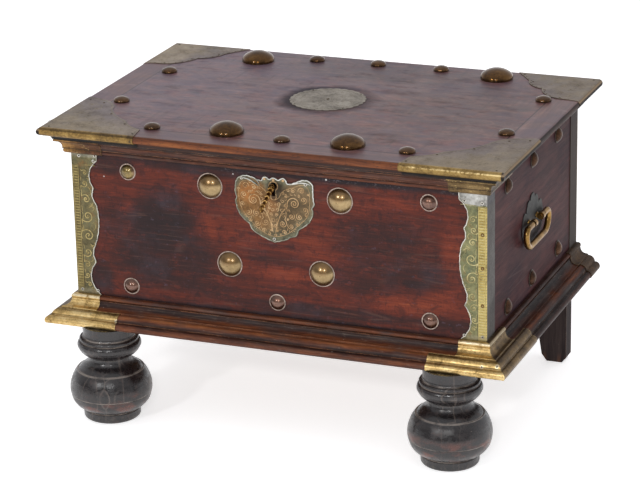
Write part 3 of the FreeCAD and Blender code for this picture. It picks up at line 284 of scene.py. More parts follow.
# ------------------------------------------------------------------ woods
def wood_front():
    s = Shade("wood_front")
    broad, mid, fine = grain(s, "X")
    tone = s.add(0.11, s.add(s.add(s.mul(broad, 0.22), s.mul(mid, 0.30)), s.mul(fine, 0.26)))
    rag = s.noise(s.scaled(s.p, (0.020, 0.05, 0.045)), detail=5.0, rough=0.70)
    y = -SHIFT
    dark = s.patch([(-130, y, 222, 50, 90, 50, 1.0), (-90, y, 156, 66, 90, 8, 0.4), (-10, y, 202, 40, 90, 10, 0.25), (-150, y, 184, 52, 90, 30, 0.8), (-96, y, 196, 36, 90, 38, 0.7),
                    (118, y, 228, 66, 90, 36, 0.60), (150, y, 202, 62, 90, 24, 0.62), (92, y, 186, 40, 90, 24, 0.34), (-186, y, 226, 22, 90, 34, 0.35), (174, y, 214, 18, 90, 40, 0.30),
                    (0, y, 300, 260, 90, 12, 0.9), (-60, y, 291, 110, 90, 8, 0.6), (0, y, 133, 260, 90, 9, 0.85), (-190, y, 286, 34, 90, 12, 0.7), (-120, y, 160, 60, 90, 12, 0.6),
                    (60, y, 148, 150, 90, 9, 0.6), (-206, y, 156, 20, 90, 26, 0.7),
                    (205, y, 148, 40, 90, 10, 0.6)], rag, 1.1)
    warm = s.patch([(-78, y, 222, 20, 90, 26, 0.9), (12, y, 182, 40, 90, 12, 0.8), (-40, y, 250, 30, 90, 12, 0.3), (197, y, 222, 17, 90, 60, 0.8),
                    (150, y, 166, 56, 90, 11, 0.85), (130, y, 276, 50, 90, 13, 0.6), (-165, y, 168, 30, 90, 9, 0.45), (186, y, 180, 24, 90, 20, 0.7),
                    (-40, y, 222, 34, 90, 44, 0.4), (52, y, 226, 34, 90, 34, 0.5), (66, y, 206, 26, 90, 40, 0.3)],
                   rag, 1.2)
    tone = s.add(s.sub(tone, s.mul(dark, 0.17)), s.mul(warm, 0.10))
    colour = s.ramp(tone, [(0.20, rgb(26, 19, 20)), (0.31, rgb(44, 27, 26)), (0.40, rgb(60, 31, 27)), (0.48, rgb(80, 36, 28)),
                           (0.555, rgb(100, 43, 30)), (0.64, rgb(124, 56, 36)), (0.76, rgb(152, 84, 52))])
    colour = s.mixc(s.mul(dark, 0.42), colour, rgb(44, 37, 39))
    bloom = s.mul(s.fit(s.noise(s.scaled(s.p, (0.03, 0.03, 0.03)), detail=4.0), 0.46, 0.7), s.add(s.mul(dark, 0.30), 0.06))
    colour = s.mixc(bloom, colour, rgb(72, 64, 74))
    colour = s.mixc(s.mul(specks(s, 12.0, 0.05, 0.5, 1.0), 0.7), colour, rgb(160, 126, 112))
    colour = s.mixc(s.mul(scratches(s, "X", 9.0, 2.0), 0.22), colour, rgb(128, 92, 78))
    # cloudy wear: dark plum, lilac bloom and rubbed red, a few millimetres to a couple of centimetres across
    mott = s.noise(s.scaled(s.p, (0.075, 0.05, 0.10), (5, 2, 9)), detail=5.0, rough=0.72, distort=0.6)
    colour = s.mixc(s.mul(s.fit(mott, 0.50, 0.64), 0.50), colour, rgb(42, 27, 29))
    rub = s.noise(s.scaled(s.p, (0.055, 0.05, 0.12), (1, 6, 3)), detail=5.0, rough=0.74)
    colour = s.mixc(s.mul(s.mul(s.fit(rub, 0.545, 0.66), s.sub(1.0, s.mul(dark, 0.7))), 0.36), colour, rgb(128, 54, 36))
    hatch = s.noise(s.scaled(s.p, (0.55, 0.3, 0.10), (2, 4, 8)), detail=3.0, rough=0.7)
    colour = s.mixc(s.mul(s.fit(hatch, 0.56, 0.68), 0.30), colour, rgb(30, 22, 25))
    lilac = s.noise(s.scaled(s.p, (0.11, 0.05, 0.15), (8, 3, 1)), detail=5.0, rough=0.74)
    colour = s.mixc(s.mul(s.fit(lilac, 0.59, 0.70), s.add(0.20, s.mul(dark, 0.26))), colour, rgb(98, 86, 104))
    # band under the rim: painted shadow of the rim with chalky dirt and pale crumbs; band above the plinth: dark joint
    # with dirt
    crumbs = s.noise(s.scaled(s.p, (0.22, 0.30, 0.34)), detail=5.0, rough=0.8)
    line = s.add(s.z, s.mul(s.sub(crumbs, 0.5), 9.0))
    seam_dirt_and_shadow = s.top(s.fit(line, 289.6, 294.4), s.fit(line, 139.0, 134.6))
    heavy = s.patch([(95, -SHIFT, 290, 70, 40, 16, 1.0), (-215, -SHIFT, 290, 26, 40, 12, 1.0), (205, -SHIFT, 290, 30, 40, 12, 0.9), (-40, -SHIFT, 292, 30, 40, 8, 0.7)], crumbs, 1.4)
    seam_dirt_and_shadow = s.mul(seam_dirt_and_shadow, s.add(0.45, s.mul(heavy, 0.55)))
    colour = s.mixc(s.mul(seam_dirt_and_shadow, 0.9), colour, rgb(32, 27, 32))
    flake = s.noise(s.scaled(s.p, (0.34, 0.30, 0.62), (7, 7, 2)), detail=4.0, rough=0.75)
    colour = s.mixc(s.mul(s.mul(heavy, s.mul(seam_dirt_and_shadow, s.fit(flake, 0.56, 0.66))), 0.55), colour, rgb(140, 132, 138))
    tack = s.patch([(59.1, -SHIFT, 294.2, 1.3, 30, 1.2, 0.8), (-45.7, -SHIFT, 290.1, 0.9, 30, 0.9, 0.8), (-196.5, -SHIFT, 272.4, 0.9, 30, 0.9, 0.8)], None, 0.0, 0.5, 1.1)
    colour = s.mixc(tack, colour, rgb(214, 208, 204))
    # painted shade: corners and creases darkened towards near-black
    corner_shade = s.occlusion_shade(5.0)
    colour = s.mixc(s.mul(s.fit(corner_shade, 0.25, 0.75), 0.75), colour, rgb(20, 15, 18))
    h = s.add(s.mul(fine, 0.6), s.mul(mid, 0.5))
    normal = s.bump(h, 0.35, 0.25)
    rough = s.add(s.mul(mid, 0.22), s.mixf(dark, 0.30, 0.36))
    return s.finish(colour, rough, normal=normal, Specular_IOR_Level=0.16)


def wood_lid():
    s = Shade("wood_lid")
    broad, mid, fine = grain(s, "X")
    tone = s.add(s.add(s.mul(broad, 0.42), s.mul(mid, 0.38)), s.mul(fine, 0.20))
    blot = s.noise(s.scaled(s.p, (0.016, 0.022, 0.02), (4, 4, 4)), detail=4.0, rough=0.6, distort=0.5)
    colour = s.ramp(tone, [(0.28, rgb(62, 40, 44)), (0.42, rgb(88, 58, 58)), (0.54, rgb(108, 72, 68)), (0.68, rgb(134, 96, 84))])
    colour = s.mixc(s.mul(s.fit(blot, 0.42, 0.60), 0.50), colour, rgb(90, 74, 90))
    red = s.fit(s.noise(s.scaled(s.p, (0.03, 0.05, 0.02), (9, 1, 3)), detail=5.0, rough=0.68), 0.50, 0.64)
    colour = s.mixc(s.mul(red, 0.42), colour, rgb(140, 76, 66))
    pale = s.mul(s.fit(s.x, 40.0, -220.0), 0.22)
    colour = s.mixc(pale, colour, rgb(142, 118, 122))
    cloud = s.noise(s.scaled(s.p, (0.028, 0.065, 0.05), (2, 6, 1)), detail=5.0, rough=0.68, distort=0.3)
    colour = s.mixc(s.mul(s.fit(cloud, 0.53, 0.70), 0.34), colour, rgb(58, 44, 50))
    colour = s.mixc(s.mul(s.fit(cloud, 0.46, 0.30), 0.30), colour, rgb(158, 130, 132))
    streak = s.noise(s.scaled(s.p, (0.012, 0.16, 0.1), (5, 5, 5)), detail=5.0, rough=0.7)
    colour = s.mixc(s.mul(s.fit(streak, 0.54, 0.68), 0.24), colour, rgb(56, 42, 48))
    drift = s.noise(s.scaled(s.p, (0.010, 0.013, 0.01), (3, 1, 7)), detail=4.0, rough=0.62, distort=0.6)
    far = s.fit(s.add(s.sub(s.y, s.mul(s.x, 0.8)), s.mul(s.sub(drift, 0.5), 420.0)), -90.0, 150.0)
    colour = s.mixc(s.mul(far, 0.20), colour, rgb(84, 80, 108))
    colour = s.mixc(s.mul(s.sub(1.0, far), 0.14), colour, rgb(120, 76, 68))
    deep_ = s.patch([(150, 200 - SHIFT, 328, 120, 150, 60, 0.9), (40, 290 - SHIFT, 328, 170, 56, 60, 1.0), (90, 60 - SHIFT, 328, 90, 60, 60, 0.5)], drift, 1.2, 0.2, 1.2)
    colour = s.mixc(s.mul(deep_, 0.44), colour, rgb(56, 38, 32))
    haze = s.noise(s.scaled(s.p, (0.05, 0.09, 0.05), (7, 2, 2)), detail=6.0, rough=0.78, distort=0.8)
    colour = s.mixc(s.mul(s.fit(haze, 0.50, 0.62), 0.34), colour, rgb(72, 62, 84))
    colour = s.mixc(s.mul(s.fit(haze, 0.50, 0.38), 0.28), colour, rgb(146, 104, 92))
    fleck = s.noise(s.scaled(s.p, (0.12, 0.30, 0.1), (1, 8, 2)), detail=5.0, rough=0.8, distort=0.4)
    colour = s.mixc(s.mul(s.fit(fleck, 0.53, 0.65), 0.42), colour, rgb(52, 38, 44))
    # dark stain ring round the disc in the middle
    dx = s.scaled(s.p, (1, 1, 0), (3.0, -(167.0 - SHIFT), 0))
    n = s.new("ShaderNodeVectorMath", operation="LENGTH")
    s.link(dx, n.inputs[0])
    r = s.add(n.outputs["Value"], s.mul(s.sub(s.noise(s.scaled(s.p, (0.05, 0.05, 0.05)), detail=4.0), 0.5), 18.0))
    ring = s.mul(s.fit(r, 36.0, 40.0), s.fit(r, 43.0, 60.0, 1.0, 0.0))
    ring = s.mul(ring, s.add(0.55, s.mul(s.fit(s.x, 10.0, -30.0), 0.45)))
    ring = s.mul(ring, s.fit(s.z, 322.0, 326.0))
    colour = s.mixc(s.mul(ring, 0.85), colour, rgb(30, 25, 34))
    # joints of the frame round the panel
    edge = s.top(s.band(s.m("ABSOLUTE", s.x), 227.0, 0.4, 0.7), s.band(s.y, 6.3 - SHIFT, 0.4, 0.7))
    inside = s.mul(s.fit(s.m("ABSOLUTE", s.x), 227.8, 228.2, 1.0, 0.0), s.fit(s.y, 5.3 - SHIFT, 5.8 - SHIFT))
    colour = s.mixc(s.mul(edge, 0.85), colour, rgb(20, 16, 20))
    # rubbed arris along the right side
    arris = s.mul(s.fit(s.sub(s.x, HALF), 25.4, 26.2), s.fit(s.z, 324.6, 325.4))
    colour = s.mixc(s.mul(arris, 0.55), colour, rgb(134, 112, 100))
    # fine cracks along the grain
    crack = s.top(scratches(s, "X", 16.0, 8.0), s.mul(scratches(s, "Y", 26.0, 3.0), 0.7))
    colour = s.mixc(s.mul(crack, 0.50), colour, rgb(34, 25, 30))
    colour = s.mixc(s.mul(specks(s, 16.0, 0.05, 0.35, 5.0), 0.55), colour, rgb(150, 140, 146))
    # painted shade: corners and creases darkened towards near-black
    corner_shade = s.occlusion_shade(4.0)
    colour = s.mixc(s.mul(s.fit(corner_shade, 0.2, 0.7), 0.8), colour, rgb(24, 18, 22))
    h = s.add(s.mul(fine, 0.5), s.mul(mid, 0.6))
    h = s.sub(h, s.mul(edge, 1.2))
    rough = s.add(s.mul(blot, 0.22), s.add(s.mul(mid, 0.12), 0.22))
    rough = s.add(rough, s.add(s.mul(ring, 0.34), s.mul(s.fit(cloud, 0.50, 0.70), 0.14)))
    return s.finish(colour, rough, normal=s.bump(h, 0.3, 0.25), Specular_IOR_Level=0.42, Coat_Weight=0.0)


def wood_sides(name, along):
    s = Shade(name)
    broad, mid, fine = grain(s, along)
    tone = s.add(s.add(s.mul(broad, 0.4), s.mul(mid, 0.36)), s.mul(fine, 0.24))
    colour = s.ramp(tone, [(0.28, rgb(30, 16, 19)), (0.44, rgb(50, 28, 31)), (0.56, rgb(70, 40, 41)), (0.72, rgb(98, 58, 54))])
    flat = (0.012, 0.020, 0.020) if along == "X" else (0.020, 0.012, 0.020)
    blot = s.noise(s.scaled(s.p, flat, (1, 5, 2)), detail=5.0, rough=0.62, distort=0.2)
    colour = s.mixc(s.mul(s.fit(blot, 0.47, 0.66), 0.42), colour, rgb(34, 28, 40))
    rub = s.fit(s.noise(s.scaled(s.p, tuple(v * 1.9 for v in flat), (4, 9, 6)), detail=5.0, rough=0.66), 0.52, 0.68)
    colour = s.mixc(s.mul(rub, 0.40), colour, rgb(80, 44, 42))
    colour = s.mixc(s.mul(specks(s, 15.0, 0.05, 0.4, 3.0), 0.6), colour, rgb(136, 122, 120))
    colour = s.mixc(s.mul(scratches(s, along, 9.0, 6.0), 0.22), colour, rgb(100, 84, 82))
    # painted shade: corners and creases darkened towards near-black
    corner_shade = s.occlusion_shade(5.0)
    colour = s.mixc(s.mul(s.fit(corner_shade, 0.25, 0.75), 0.75), colour, rgb(14, 11, 14))
    h = s.add(s.mul(fine, 0.6), s.mul(mid, 0.5))
    rough = s.add(s.mul(blot, 0.2), 0.36)
    return s.finish(colour, rough, normal=s.bump(h, 0.35, 0.25), Specular_IOR_Level=0.03)


def wood_inside():
    s = Shade("wood_inside")
    broad, mid, fine = grain(s, "X")
    tone = s.add(s.add(s.mul(broad, 0.4), s.mul(mid, 0.36)), s.mul(fine, 0.24))
    colour = s.ramp(tone, [(0.28, rgb(58, 40, 30)), (0.46, rgb(86, 60, 42)), (0.6, rgb(112, 80, 56)), (0.74, rgb(134, 100, 72))])
    # painted shade: inner corners of the box darkened
    corner_shade = s.occlusion_shade(22.0)
    colour = s.mixc(s.mul(s.fit(corner_shade, 0.3, 0.9), 0.6), colour, rgb(30, 22, 18))
    h = s.add(s.mul(fine, 0.7), s.mul(mid, 0.4))
    return s.finish(colour, s.add(s.mul(mid, 0.2), 0.55), normal=s.bump(h, 0.45, 0.3), Specular_IOR_Level=0.35)


def wood_moulding(name, along, bright=0.0):
    """Moulded rails: colour changes with height, with worn orange-brown crests lifted by painted highlight and dark
    hollows in painted shade.
    """
    s = Shade(name)
    broad, mid, fine = grain(s, along)
    tone = s.add(s.add(s.mul(broad, 0.3), s.mul(mid, 0.4)), s.mul(fine, 0.3))
    z = s.add(s.z, s.mul(s.sub(mid, 0.5), 1.6))
    # by height: painted highlight and wear on the crests, painted shade in the hollows
    if name.startswith("plinth"):
        level = s.fit(z, 107.0, 135.4, 0.0, 1.0, smooth=False)
        crest_wear_and_light = s.ramp(level, [(0.0, 0.34), (0.10, 0.52), (0.20, 0.56), (0.255, 0.25), (0.30, 0.10), (0.37, 0.30), (0.48, 0.78),
                               (0.58, 0.60), (0.66, 0.16), (0.78, 0.06), (0.86, 0.34), (0.92, 0.58), (1.0, 0.52)])
    else:
        level = s.fit(z, 297.0, 314.4, 0.0, 1.0, smooth=False)
        crest_wear_and_light = s.ramp(level, [(0.0, 0.30), (0.16, 0.56), (0.30, 0.30), (0.44, 0.50), (0.62, 0.52), (0.76, 0.30), (0.90, 0.08), (1.0, 0.06)])
    tone = s.add(s.mul(tone, 0.62), s.mul(crest_wear_and_light, 0.38))
    # bright shifts the tone of one copy: painted shade on the darker side rails, which also get darker rubbed edges and
    # hairlines
    if bright:
        tone = s.add(tone, bright)
    flat = (0.022, 0.10, 0.14) if along == "X" else (0.10, 0.022, 0.14)
    wear = s.noise(s.scaled(s.p, flat, (6, 2, 3)), detail=6.0, rough=0.74, distort=0.5)
    tone = s.add(tone, s.mul(s.sub(wear, 0.5), 0.42))
    colour = s.ramp(tone, [(0.20, rgb(18, 13, 14)), (0.34, rgb(34, 21, 19)), (0.44, rgb(58, 32, 25)), (0.52, rgb(84, 46, 31)),
                           (0.60, rgb(114, 64, 38)), (0.72, rgb(152, 94, 56))])
    grey = s.noise(s.scaled(s.p, (0.03, 0.03, 0.1), (2, 2, 2)), detail=4.0)
    colour = s.mixc(s.mul(s.fit(grey, 0.48, 0.7), 0.45), colour, rgb(70, 62, 60))
    colour = s.mixc(s.mul(specks(s, 7.0, 0.08, 0.6, 4.0), 0.8), colour, rgb(176, 158, 146))
    rubbed = s.fit(s.noise(s.scaled(s.p, (0.05, 0.05, 0.05), (4, 8, 5)), detail=4.0, rough=0.7), 0.46, 0.58)
    colour = s.mixc(s.mul(s.mul(s.edges(1.3), s.add(0.2, s.mul(rubbed, 0.8))), 0.85), colour, rgb(190, 128, 88) if along == "X" else rgb(128, 90, 66))
    dust = s.fit(s.noise(s.scaled(s.p, (0.12, 0.12, 0.5), (1, 2, 5)), detail=5.0, rough=0.75), 0.57, 0.68)
    colour = s.mixc(s.mul(dust, 0.4), colour, rgb(120, 104, 94))
    # painted shade: hollows and corners of the moulding darkened towards near-black
    corner_shade = s.occlusion_shade(5.0)
    colour = s.mixc(s.mul(s.fit(corner_shade, 0.35, 0.9), 0.8), colour, rgb(14, 10, 12))
    flat2 = (0.02, 0.2, 1.5) if along == "X" else (0.2, 0.02, 1.5)
    hair = s.noise(s.scaled(s.p, flat2, (3, 3, 8)), detail=4.0, rough=0.7)
    colour = s.mixc(s.mul(s.fit(hair, 0.56, 0.66), 0.42), colour, rgb(124, 96, 74) if along == "X" else rgb(92, 70, 58))
    colour = s.mixc(s.mul(s.fit(hair, 0.44, 0.34), 0.55), colour, rgb(20, 13, 12))
    h = s.add(s.mul(fine, 0.6), s.add(s.mul(mid, 0.6), s.mul(hair, 0.5)))
    rough = s.add(s.mul(mid, 0.25), 0.26)
    return s.finish(colour, rough, normal=s.bump(h, 0.4, 0.3), Specular_IOR_Level=0.20 if along == "X" else 0.05)


def wood_lid_edge(along):
    """Frame pieces of the lid: purple-brown above, worn orange-brown on the rounded front edge."""
    s = Shade("lid_edge_" + along)
    broad, mid, fine = grain(s, along)
    tone = s.add(s.add(s.mul(broad, 0.42), s.mul(mid, 0.38)), s.mul(fine, 0.20))
    blot = s.noise(s.scaled(s.p, (0.016, 0.022, 0.02), (4, 4, 4)), detail=4.0, rough=0.6, distort=0.5)
    colour = s.ramp(tone, [(0.28, rgb(60, 38, 42)), (0.42, rgb(86, 56, 56)), (0.54, rgb(106, 70, 66)), (0.68, rgb(132, 94, 82))])
    colour = s.mixc(s.mul(s.fit(blot, 0.42, 0.62), 0.50), colour, rgb(88, 72, 88))
    cloud = s.noise(s.scaled(s.p, (0.028, 0.065, 0.05), (2, 6, 1)), detail=5.0, rough=0.68, distort=0.3)
    colour = s.mixc(s.mul(s.fit(cloud, 0.53, 0.70), 0.34), colour, rgb(58, 44, 50))
    colour = s.mixc(s.mul(s.fit(cloud, 0.46, 0.30), 0.30), colour, rgb(156, 128, 130))
    worn = s.ramp(tone, [(0.34, rgb(36, 20, 12)), (0.44, rgb(74, 36, 18)), (0.54, rgb(114, 60, 27)), (0.68, rgb(158, 94, 44))])
    spots = s.fit(s.noise(s.scaled(s.p, (0.20, 0.35, 0.7)), detail=5.0, rough=0.75), 0.54, 0.64)
    worn = s.mixc(s.mul(spots, 0.8), worn, rgb(38, 22, 16))
    # painted shade: on the side borders the worn edge face is darkened nearly black
    if along == "Y":
        worn = s.mixc(0.82, worn, rgb(18, 12, 12))
    face = s.fit(s.add(s.z, s.mul(s.sub(mid, 0.5), 1.2)), 326.9, 327.6, 1.0, 0.0)
    if along == "X":
        face = s.top(face, s.fit(s.add(s.y, s.mul(s.sub(mid, 0.5), 1.0)), -21.6 - SHIFT, -22.3 - SHIFT))
    colour = s.mixc(face, colour, worn)
    colour = s.mixc(s.mul(s.fit(s.z, 321.4, 319.8), 0.72), colour, rgb(34, 18, 15))
    line = s.top(s.band(s.z, 326.9, 0.15, 0.5), s.band(s.z, 315.4, 0.5, 0.8))
    if along == "X":
        line = s.top(s.band(s.y, -21.3 - SHIFT, 0.25, 0.5), s.band(s.z, 315.4, 0.5, 0.8))
    colour = s.mixc(s.mul(line, 0.75), colour, rgb(34, 22, 20))
    ax = s.m("ABSOLUTE", s.x)
    joint = s.top(s.mul(s.band(ax, 227.0, 0.25, 0.5), s.fit(s.y, 5.0 - SHIFT, 7.0 - SHIFT)), s.mul(s.band(s.y, 6.3 - SHIFT, 0.25, 0.5), s.fit(ax, 227.8, 228.2, 1.0, 0.0)))
    colour = s.mixc(s.mul(joint, 0.85), colour, rgb(20, 16, 20))
    # painted shade: corners and creases darkened towards near-black
    corner_shade = s.occlusion_shade(4.0)
    colour = s.mixc(s.mul(s.fit(corner_shade, 0.25, 0.8), 0.8), colour, rgb(24, 18, 22))
    h = s.add(s.mul(fine, 0.6), s.mul(mid, 0.6))
    rough = s.add(s.mul(blot, 0.2), s.mixf(face, 0.27, 0.62))
    return s.finish(colour, rough, normal=s.bump(h, 0.35, 0.25), Specular_IOR_Level=0.42)


def wood_bun():
    s = Shade("wood_bun")
    broad, mid, fine = grain(s, "Z")
    turn = s.noise(s.scaled(s.p, (0.03, 0.03, 1.1)), detail=4.0, rough=0.7)
    tone = s.add(s.add(s.mul(broad, 0.3), s.mul(mid, 0.35)), s.mul(turn, 0.35))
    colour = s.ramp(tone, [(0.30, rgb(9, 7, 9)), (0.46, rgb(20, 16, 18)), (0.58, rgb(34, 27, 27)), (0.74, rgb(58, 44, 40))])
    mott = s.noise(s.scaled(s.p, (0.10, 0.10, 0.14), (6, 3, 2)), detail=5.0, rough=0.74, distort=0.5)
    colour = s.mixc(s.mul(s.fit(mott, 0.55, 0.68), 0.5), colour, rgb(74, 56, 50))
    red = s.mul(s.fit(s.noise(s.scaled(s.p, (0.03, 0.03, 0.06), (3, 8, 1)), detail=4.0), 0.5, 0.68),
                s.mul(s.fit(s.z, 8.0, 18.0), s.fit(s.z, 30.0, 42.0, 1.0, 0.0)))
    colour = s.mixc(s.mul(red, 0.85), colour, rgb(112, 58, 42))
    pale = None
    for z in (10.6, 29.2, 56.1, 71.0, 89.6, 94.2):
        b = s.band(s.add(s.z, s.mul(s.sub(turn, 0.5), 0.5)), z, 0.25, 0.55)
        pale = b if pale is None else s.top(pale, b)
    worn = s.fit(s.noise(s.scaled(s.p, (0.06, 0.06, 0.06), (1, 1, 9)), detail=3.0), 0.34, 0.56)
    colour = s.mixc(s.mul(s.mul(pale, s.add(0.25, s.mul(worn, 0.75))), 0.85), colour, rgb(140, 130, 122))
    colour = s.mixc(s.mul(specks(s, 9.0, 0.07, 0.4, 7.0), 0.6), colour, rgb(140, 128, 120))
    low = s.fit(s.z, 0.0, 12.0, 1.0, 0.0)
    dust = s.fit(s.noise(s.scaled(s.p, (0.2, 0.2, 0.2)), detail=5.0, rough=0.75), 0.5, 0.66)
    colour = s.mixc(s.mul(s.mul(low, dust), 0.6), colour, rgb(104, 94, 84))
    crack = s.mul(scratches(s, "Z", 14.0, 4.0), 0.5)
    colour = s.mixc(crack, colour, rgb(110, 98, 90))
    h = s.add(s.mul(turn, 0.7), s.mul(fine, 0.4))
    h = s.add(h, s.mul(mott, 0.8))
    rough = s.add(s.mul(turn, 0.16), s.add(0.12, s.mul(s.fit(mott, 0.42, 0.62), 0.24)))
    return s.finish(colour, rough, normal=s.bump(h, 0.4, 0.3), Specular_IOR_Level=0.72)


def wood_plank():
    s = Shade("wood_plank")
    broad, mid, fine = grain(s, "Z")
    tone = s.add(s.add(s.mul(broad, 0.4), s.mul(mid, 0.36)), s.mul(fine, 0.24))
    colour = s.ramp(tone, [(0.30, rgb(28, 23, 24)), (0.46, rgb(48, 40, 40)), (0.58, rgb(66, 56, 54)), (0.74, rgb(92, 80, 74))])
    colour = s.mixc(s.mul(specks(s, 6.0, 0.08, 0.6, 9.0), 0.7), colour, rgb(128, 118, 110))
    worn = s.mul(s.edges(1.6), s.fit(s.noise(s.scaled(s.p, (0.1, 0.1, 0.1)), detail=4.0), 0.35, 0.6))
    colour = s.mixc(s.mul(worn, 0.7), colour, rgb(128, 106, 92))
    low = s.mul(s.fit(s.z, 0.0, 14.0, 1.0, 0.0), s.fit(mid, 0.45, 0.6))
    colour = s.mixc(s.mul(low, 0.6), colour, rgb(104, 70, 54))
    h = s.add(s.mul(fine, 0.6), s.mul(mid, 0.6))
    return s.finish(colour, s.add(s.mul(mid, 0.2), 0.50), normal=s.bump(h, 0.45, 0.3), Specular_IOR_Level=0.05)


# ------------------------------------------------------------------ metals
def metal(name, dark, middle, light, rough=0.3, tarnish=0.5, patina=None, patina_amount=0.0, scale=1.0, bump=0.25, gloss=0.05, shine=0.5,
          edge=0.0, edge_colour=None, hollow_tarnish_and_shade=0.7, metallic=1.0, zones=None, varnish=0.0, dull=None):
    """Old brass or iron: cloudy tarnish, darker in corners from tarnish in the hollows and painted shade, rubbed bright
    on edges, with hammer marks and scratches.
    """
    s = Shade(name)
    cloud = s.noise(s.scaled(s.p, (0.045 * scale,) * 3), detail=5.0, rough=0.62, distort=0.4)
    small = s.noise(s.scaled(s.p, (0.35 * scale,) * 3, (5, 5, 5)), detail=4.0, rough=0.7)
    tiny = s.noise(s.scaled(s.p, (1.6,) * 3, (2, 7, 1)), detail=3.0, rough=0.7)
    tone = s.add(s.add(s.mul(cloud, 0.5), s.mul(small, 0.35)), s.mul(tiny, 0.15))
    colour = s.ramp(tone, [(0.5 - 0.24 * tarnish, dark), (0.5, middle), (0.5 + 0.2, light)])
    if patina is not None:
        where = s.fit(s.noise(s.scaled(s.p, (0.06, 0.06, 0.06), (8, 1, 4)), detail=5.0, rough=0.65), 0.42, 0.62)
        colour = s.mixc(s.mul(where, patina_amount), colour, patina)
    if zones:
        colour = zones(s, colour, tone)
    # tarnish in the hollows and painted shade: corners and creases darkened to the dark tone
    corner_shade = s.occlusion_shade(3.0)
    colour = s.mixc(s.mul(s.fit(corner_shade, 0.2, 0.75), hollow_tarnish_and_shade), colour, dark)
    rough_v = s.add(s.mul(s.sub(1.0, tone), 0.35), rough - 0.12)
    if edge:
        e = s.mul(s.edges(edge), s.fit(small, 0.35, 0.55))
        colour = s.mixc(s.mul(e, 0.75), colour, edge_colour or light)
    marks = scratches(s, "X", 5.0, 1.5)
    h = s.sub(s.add(s.mul(small, 0.7), s.mul(cloud, 0.6)), s.mul(marks, 0.35))
    if dull:
        matt = dull(s)
        metallic = s.mul(s.sub(1.0, matt), metallic)
        rough_v = s.mixf(matt, rough_v, 0.85)
    return s.finish(colour, rough_v, metal=metallic, normal=s.bump(h, bump, 0.3), Coat_Weight=varnish, Coat_Roughness=gloss, Specular_IOR_Level=shine)


def shades(s, tone, dark, middle, light, low=0.38, high=0.68):
    return s.ramp(tone, [(low, dark), (0.5, middle), (high, light)])


def strap_rear(s):
    """1 on the straps at the back corners, which have lost their shine."""
    return s.fit(s.y, 250.0 - SHIFT, 280.0 - SHIFT)


def strap_zones(s, colour, tone):
    """Yellow ladder border, green-brown field, silvery top on the right and lead-grey side returns."""
    ax = s.m("ABSOLUTE", s.x)
    out = s.sub(HALF, ax)
    right = s.fit(s.x, -10.0, 10.0)
    field = s.mixc(right, shades(s, tone, rgb(62, 56, 38), rgb(98, 90, 62), rgb(132, 120, 80)),
                   shades(s, tone, rgb(84, 86, 58), rgb(122, 124, 88), rgb(152, 152, 112)))
    colour = s.mixc(0.72, colour, field)
    stain = s.fit(s.noise(s.scaled(s.p, (0.10, 0.10, 0.10), (2, 9, 3)), detail=5.0, rough=0.7), 0.54, 0.66)
    colour = s.mixc(s.mul(stain, 0.5), colour, rgb(134, 96, 56))
    moss = s.fit(s.noise(s.scaled(s.p, (0.09, 0.09, 0.07), (6, 1, 8)), detail=5.0, rough=0.7), 0.54, 0.66)
    colour = s.mixc(s.mul(moss, 0.45), colour, rgb(84, 96, 80))
    wide = s.add(6.8, s.mul(right, 1.5))
    rear = strap_rear(s)
    ladder = s.mul(s.fit(s.sub(out, wide), 0.5, -0.1), s.fit(s.z, 284.0, 280.0))
    gold = s.mixc(right, shades(s, tone, rgb(90, 80, 50), rgb(136, 122, 76), rgb(168, 152, 98)),
                  shades(s, tone, rgb(146, 124, 64), rgb(200, 178, 106), rgb(224, 206, 138)))
    colour = s.mixc(s.mul(ladder, 0.92), colour, gold)
    phase = s.m("FRACT", s.mul(s.sub(s.z, 141.5), 1.0 / 3.1))
    gap = s.fit(s.m("ABSOLUTE", s.sub(phase, 0.5)), 0.26, 0.10)
    colour = s.mixc(s.mul(s.mul(gap, ladder), s.mixf(right, 0.55, 0.34)), colour, rgb(70, 58, 34))
    line = s.mul(s.band(s.sub(out, wide), 0.7, 0.35, 0.4), s.fit(s.z, 284.0, 280.0))
    colour = s.mixc(s.mul(line, s.mixf(right, 0.75, 0.45)), colour, rgb(46, 40, 26))
    silver = s.mul(s.fit(s.add(s.z, s.mul(s.sub(tone, 0.5), 8.0)), 282.0, 284.4), right)
    colour = s.mixc(s.mul(silver, 0.92), colour, shades(s, tone, rgb(112, 110, 106), rgb(166, 164, 160), rgb(214, 214, 212)))
    grey = s.mul(s.fit(s.add(s.z, s.mul(s.sub(tone, 0.5), 8.0)), 291.0, 294.0), s.sub(1.0, right))
    colour = s.mixc(s.mul(grey, 0.6), colour, shades(s, tone, rgb(100, 98, 86), rgb(142, 140, 126), rgb(186, 184, 172)))
    foot = s.fit(s.z, 144.0, 139.0)
    colour = s.mixc(s.mul(foot, 0.6), colour, shades(s, tone, rgb(88, 82, 64), rgb(138, 130, 106), rgb(172, 164, 138)))
    flank = s.fit(ax, HALF + 0.02, HALF + 0.12)
    corner = s.top(s.fit(s.y, 1.4 - SHIFT, 0.2 - SHIFT), s.fit(s.y, 324.6 - SHIFT, 325.8 - SHIFT))
    flank = s.mul(flank, s.sub(1.0, corner))
    streak = s.fit(s.noise(s.scaled(s.p, (0.1, 0.30, 0.02), (4, 2, 2)), detail=4.0, rough=0.7), 0.40, 0.62)
    lead = s.mixc(streak, shades(s, tone, rgb(22, 20, 24), rgb(34, 32, 37), rgb(56, 54, 58)),
                  shades(s, tone, rgb(32, 30, 34), rgb(48, 46, 51), rgb(78, 75, 78)))
    colour = s.mixc(s.mul(flank, 0.96), colour, lead)
    return s.mixc(s.mul(rear, 0.75), colour, rgb(52, 40, 35))


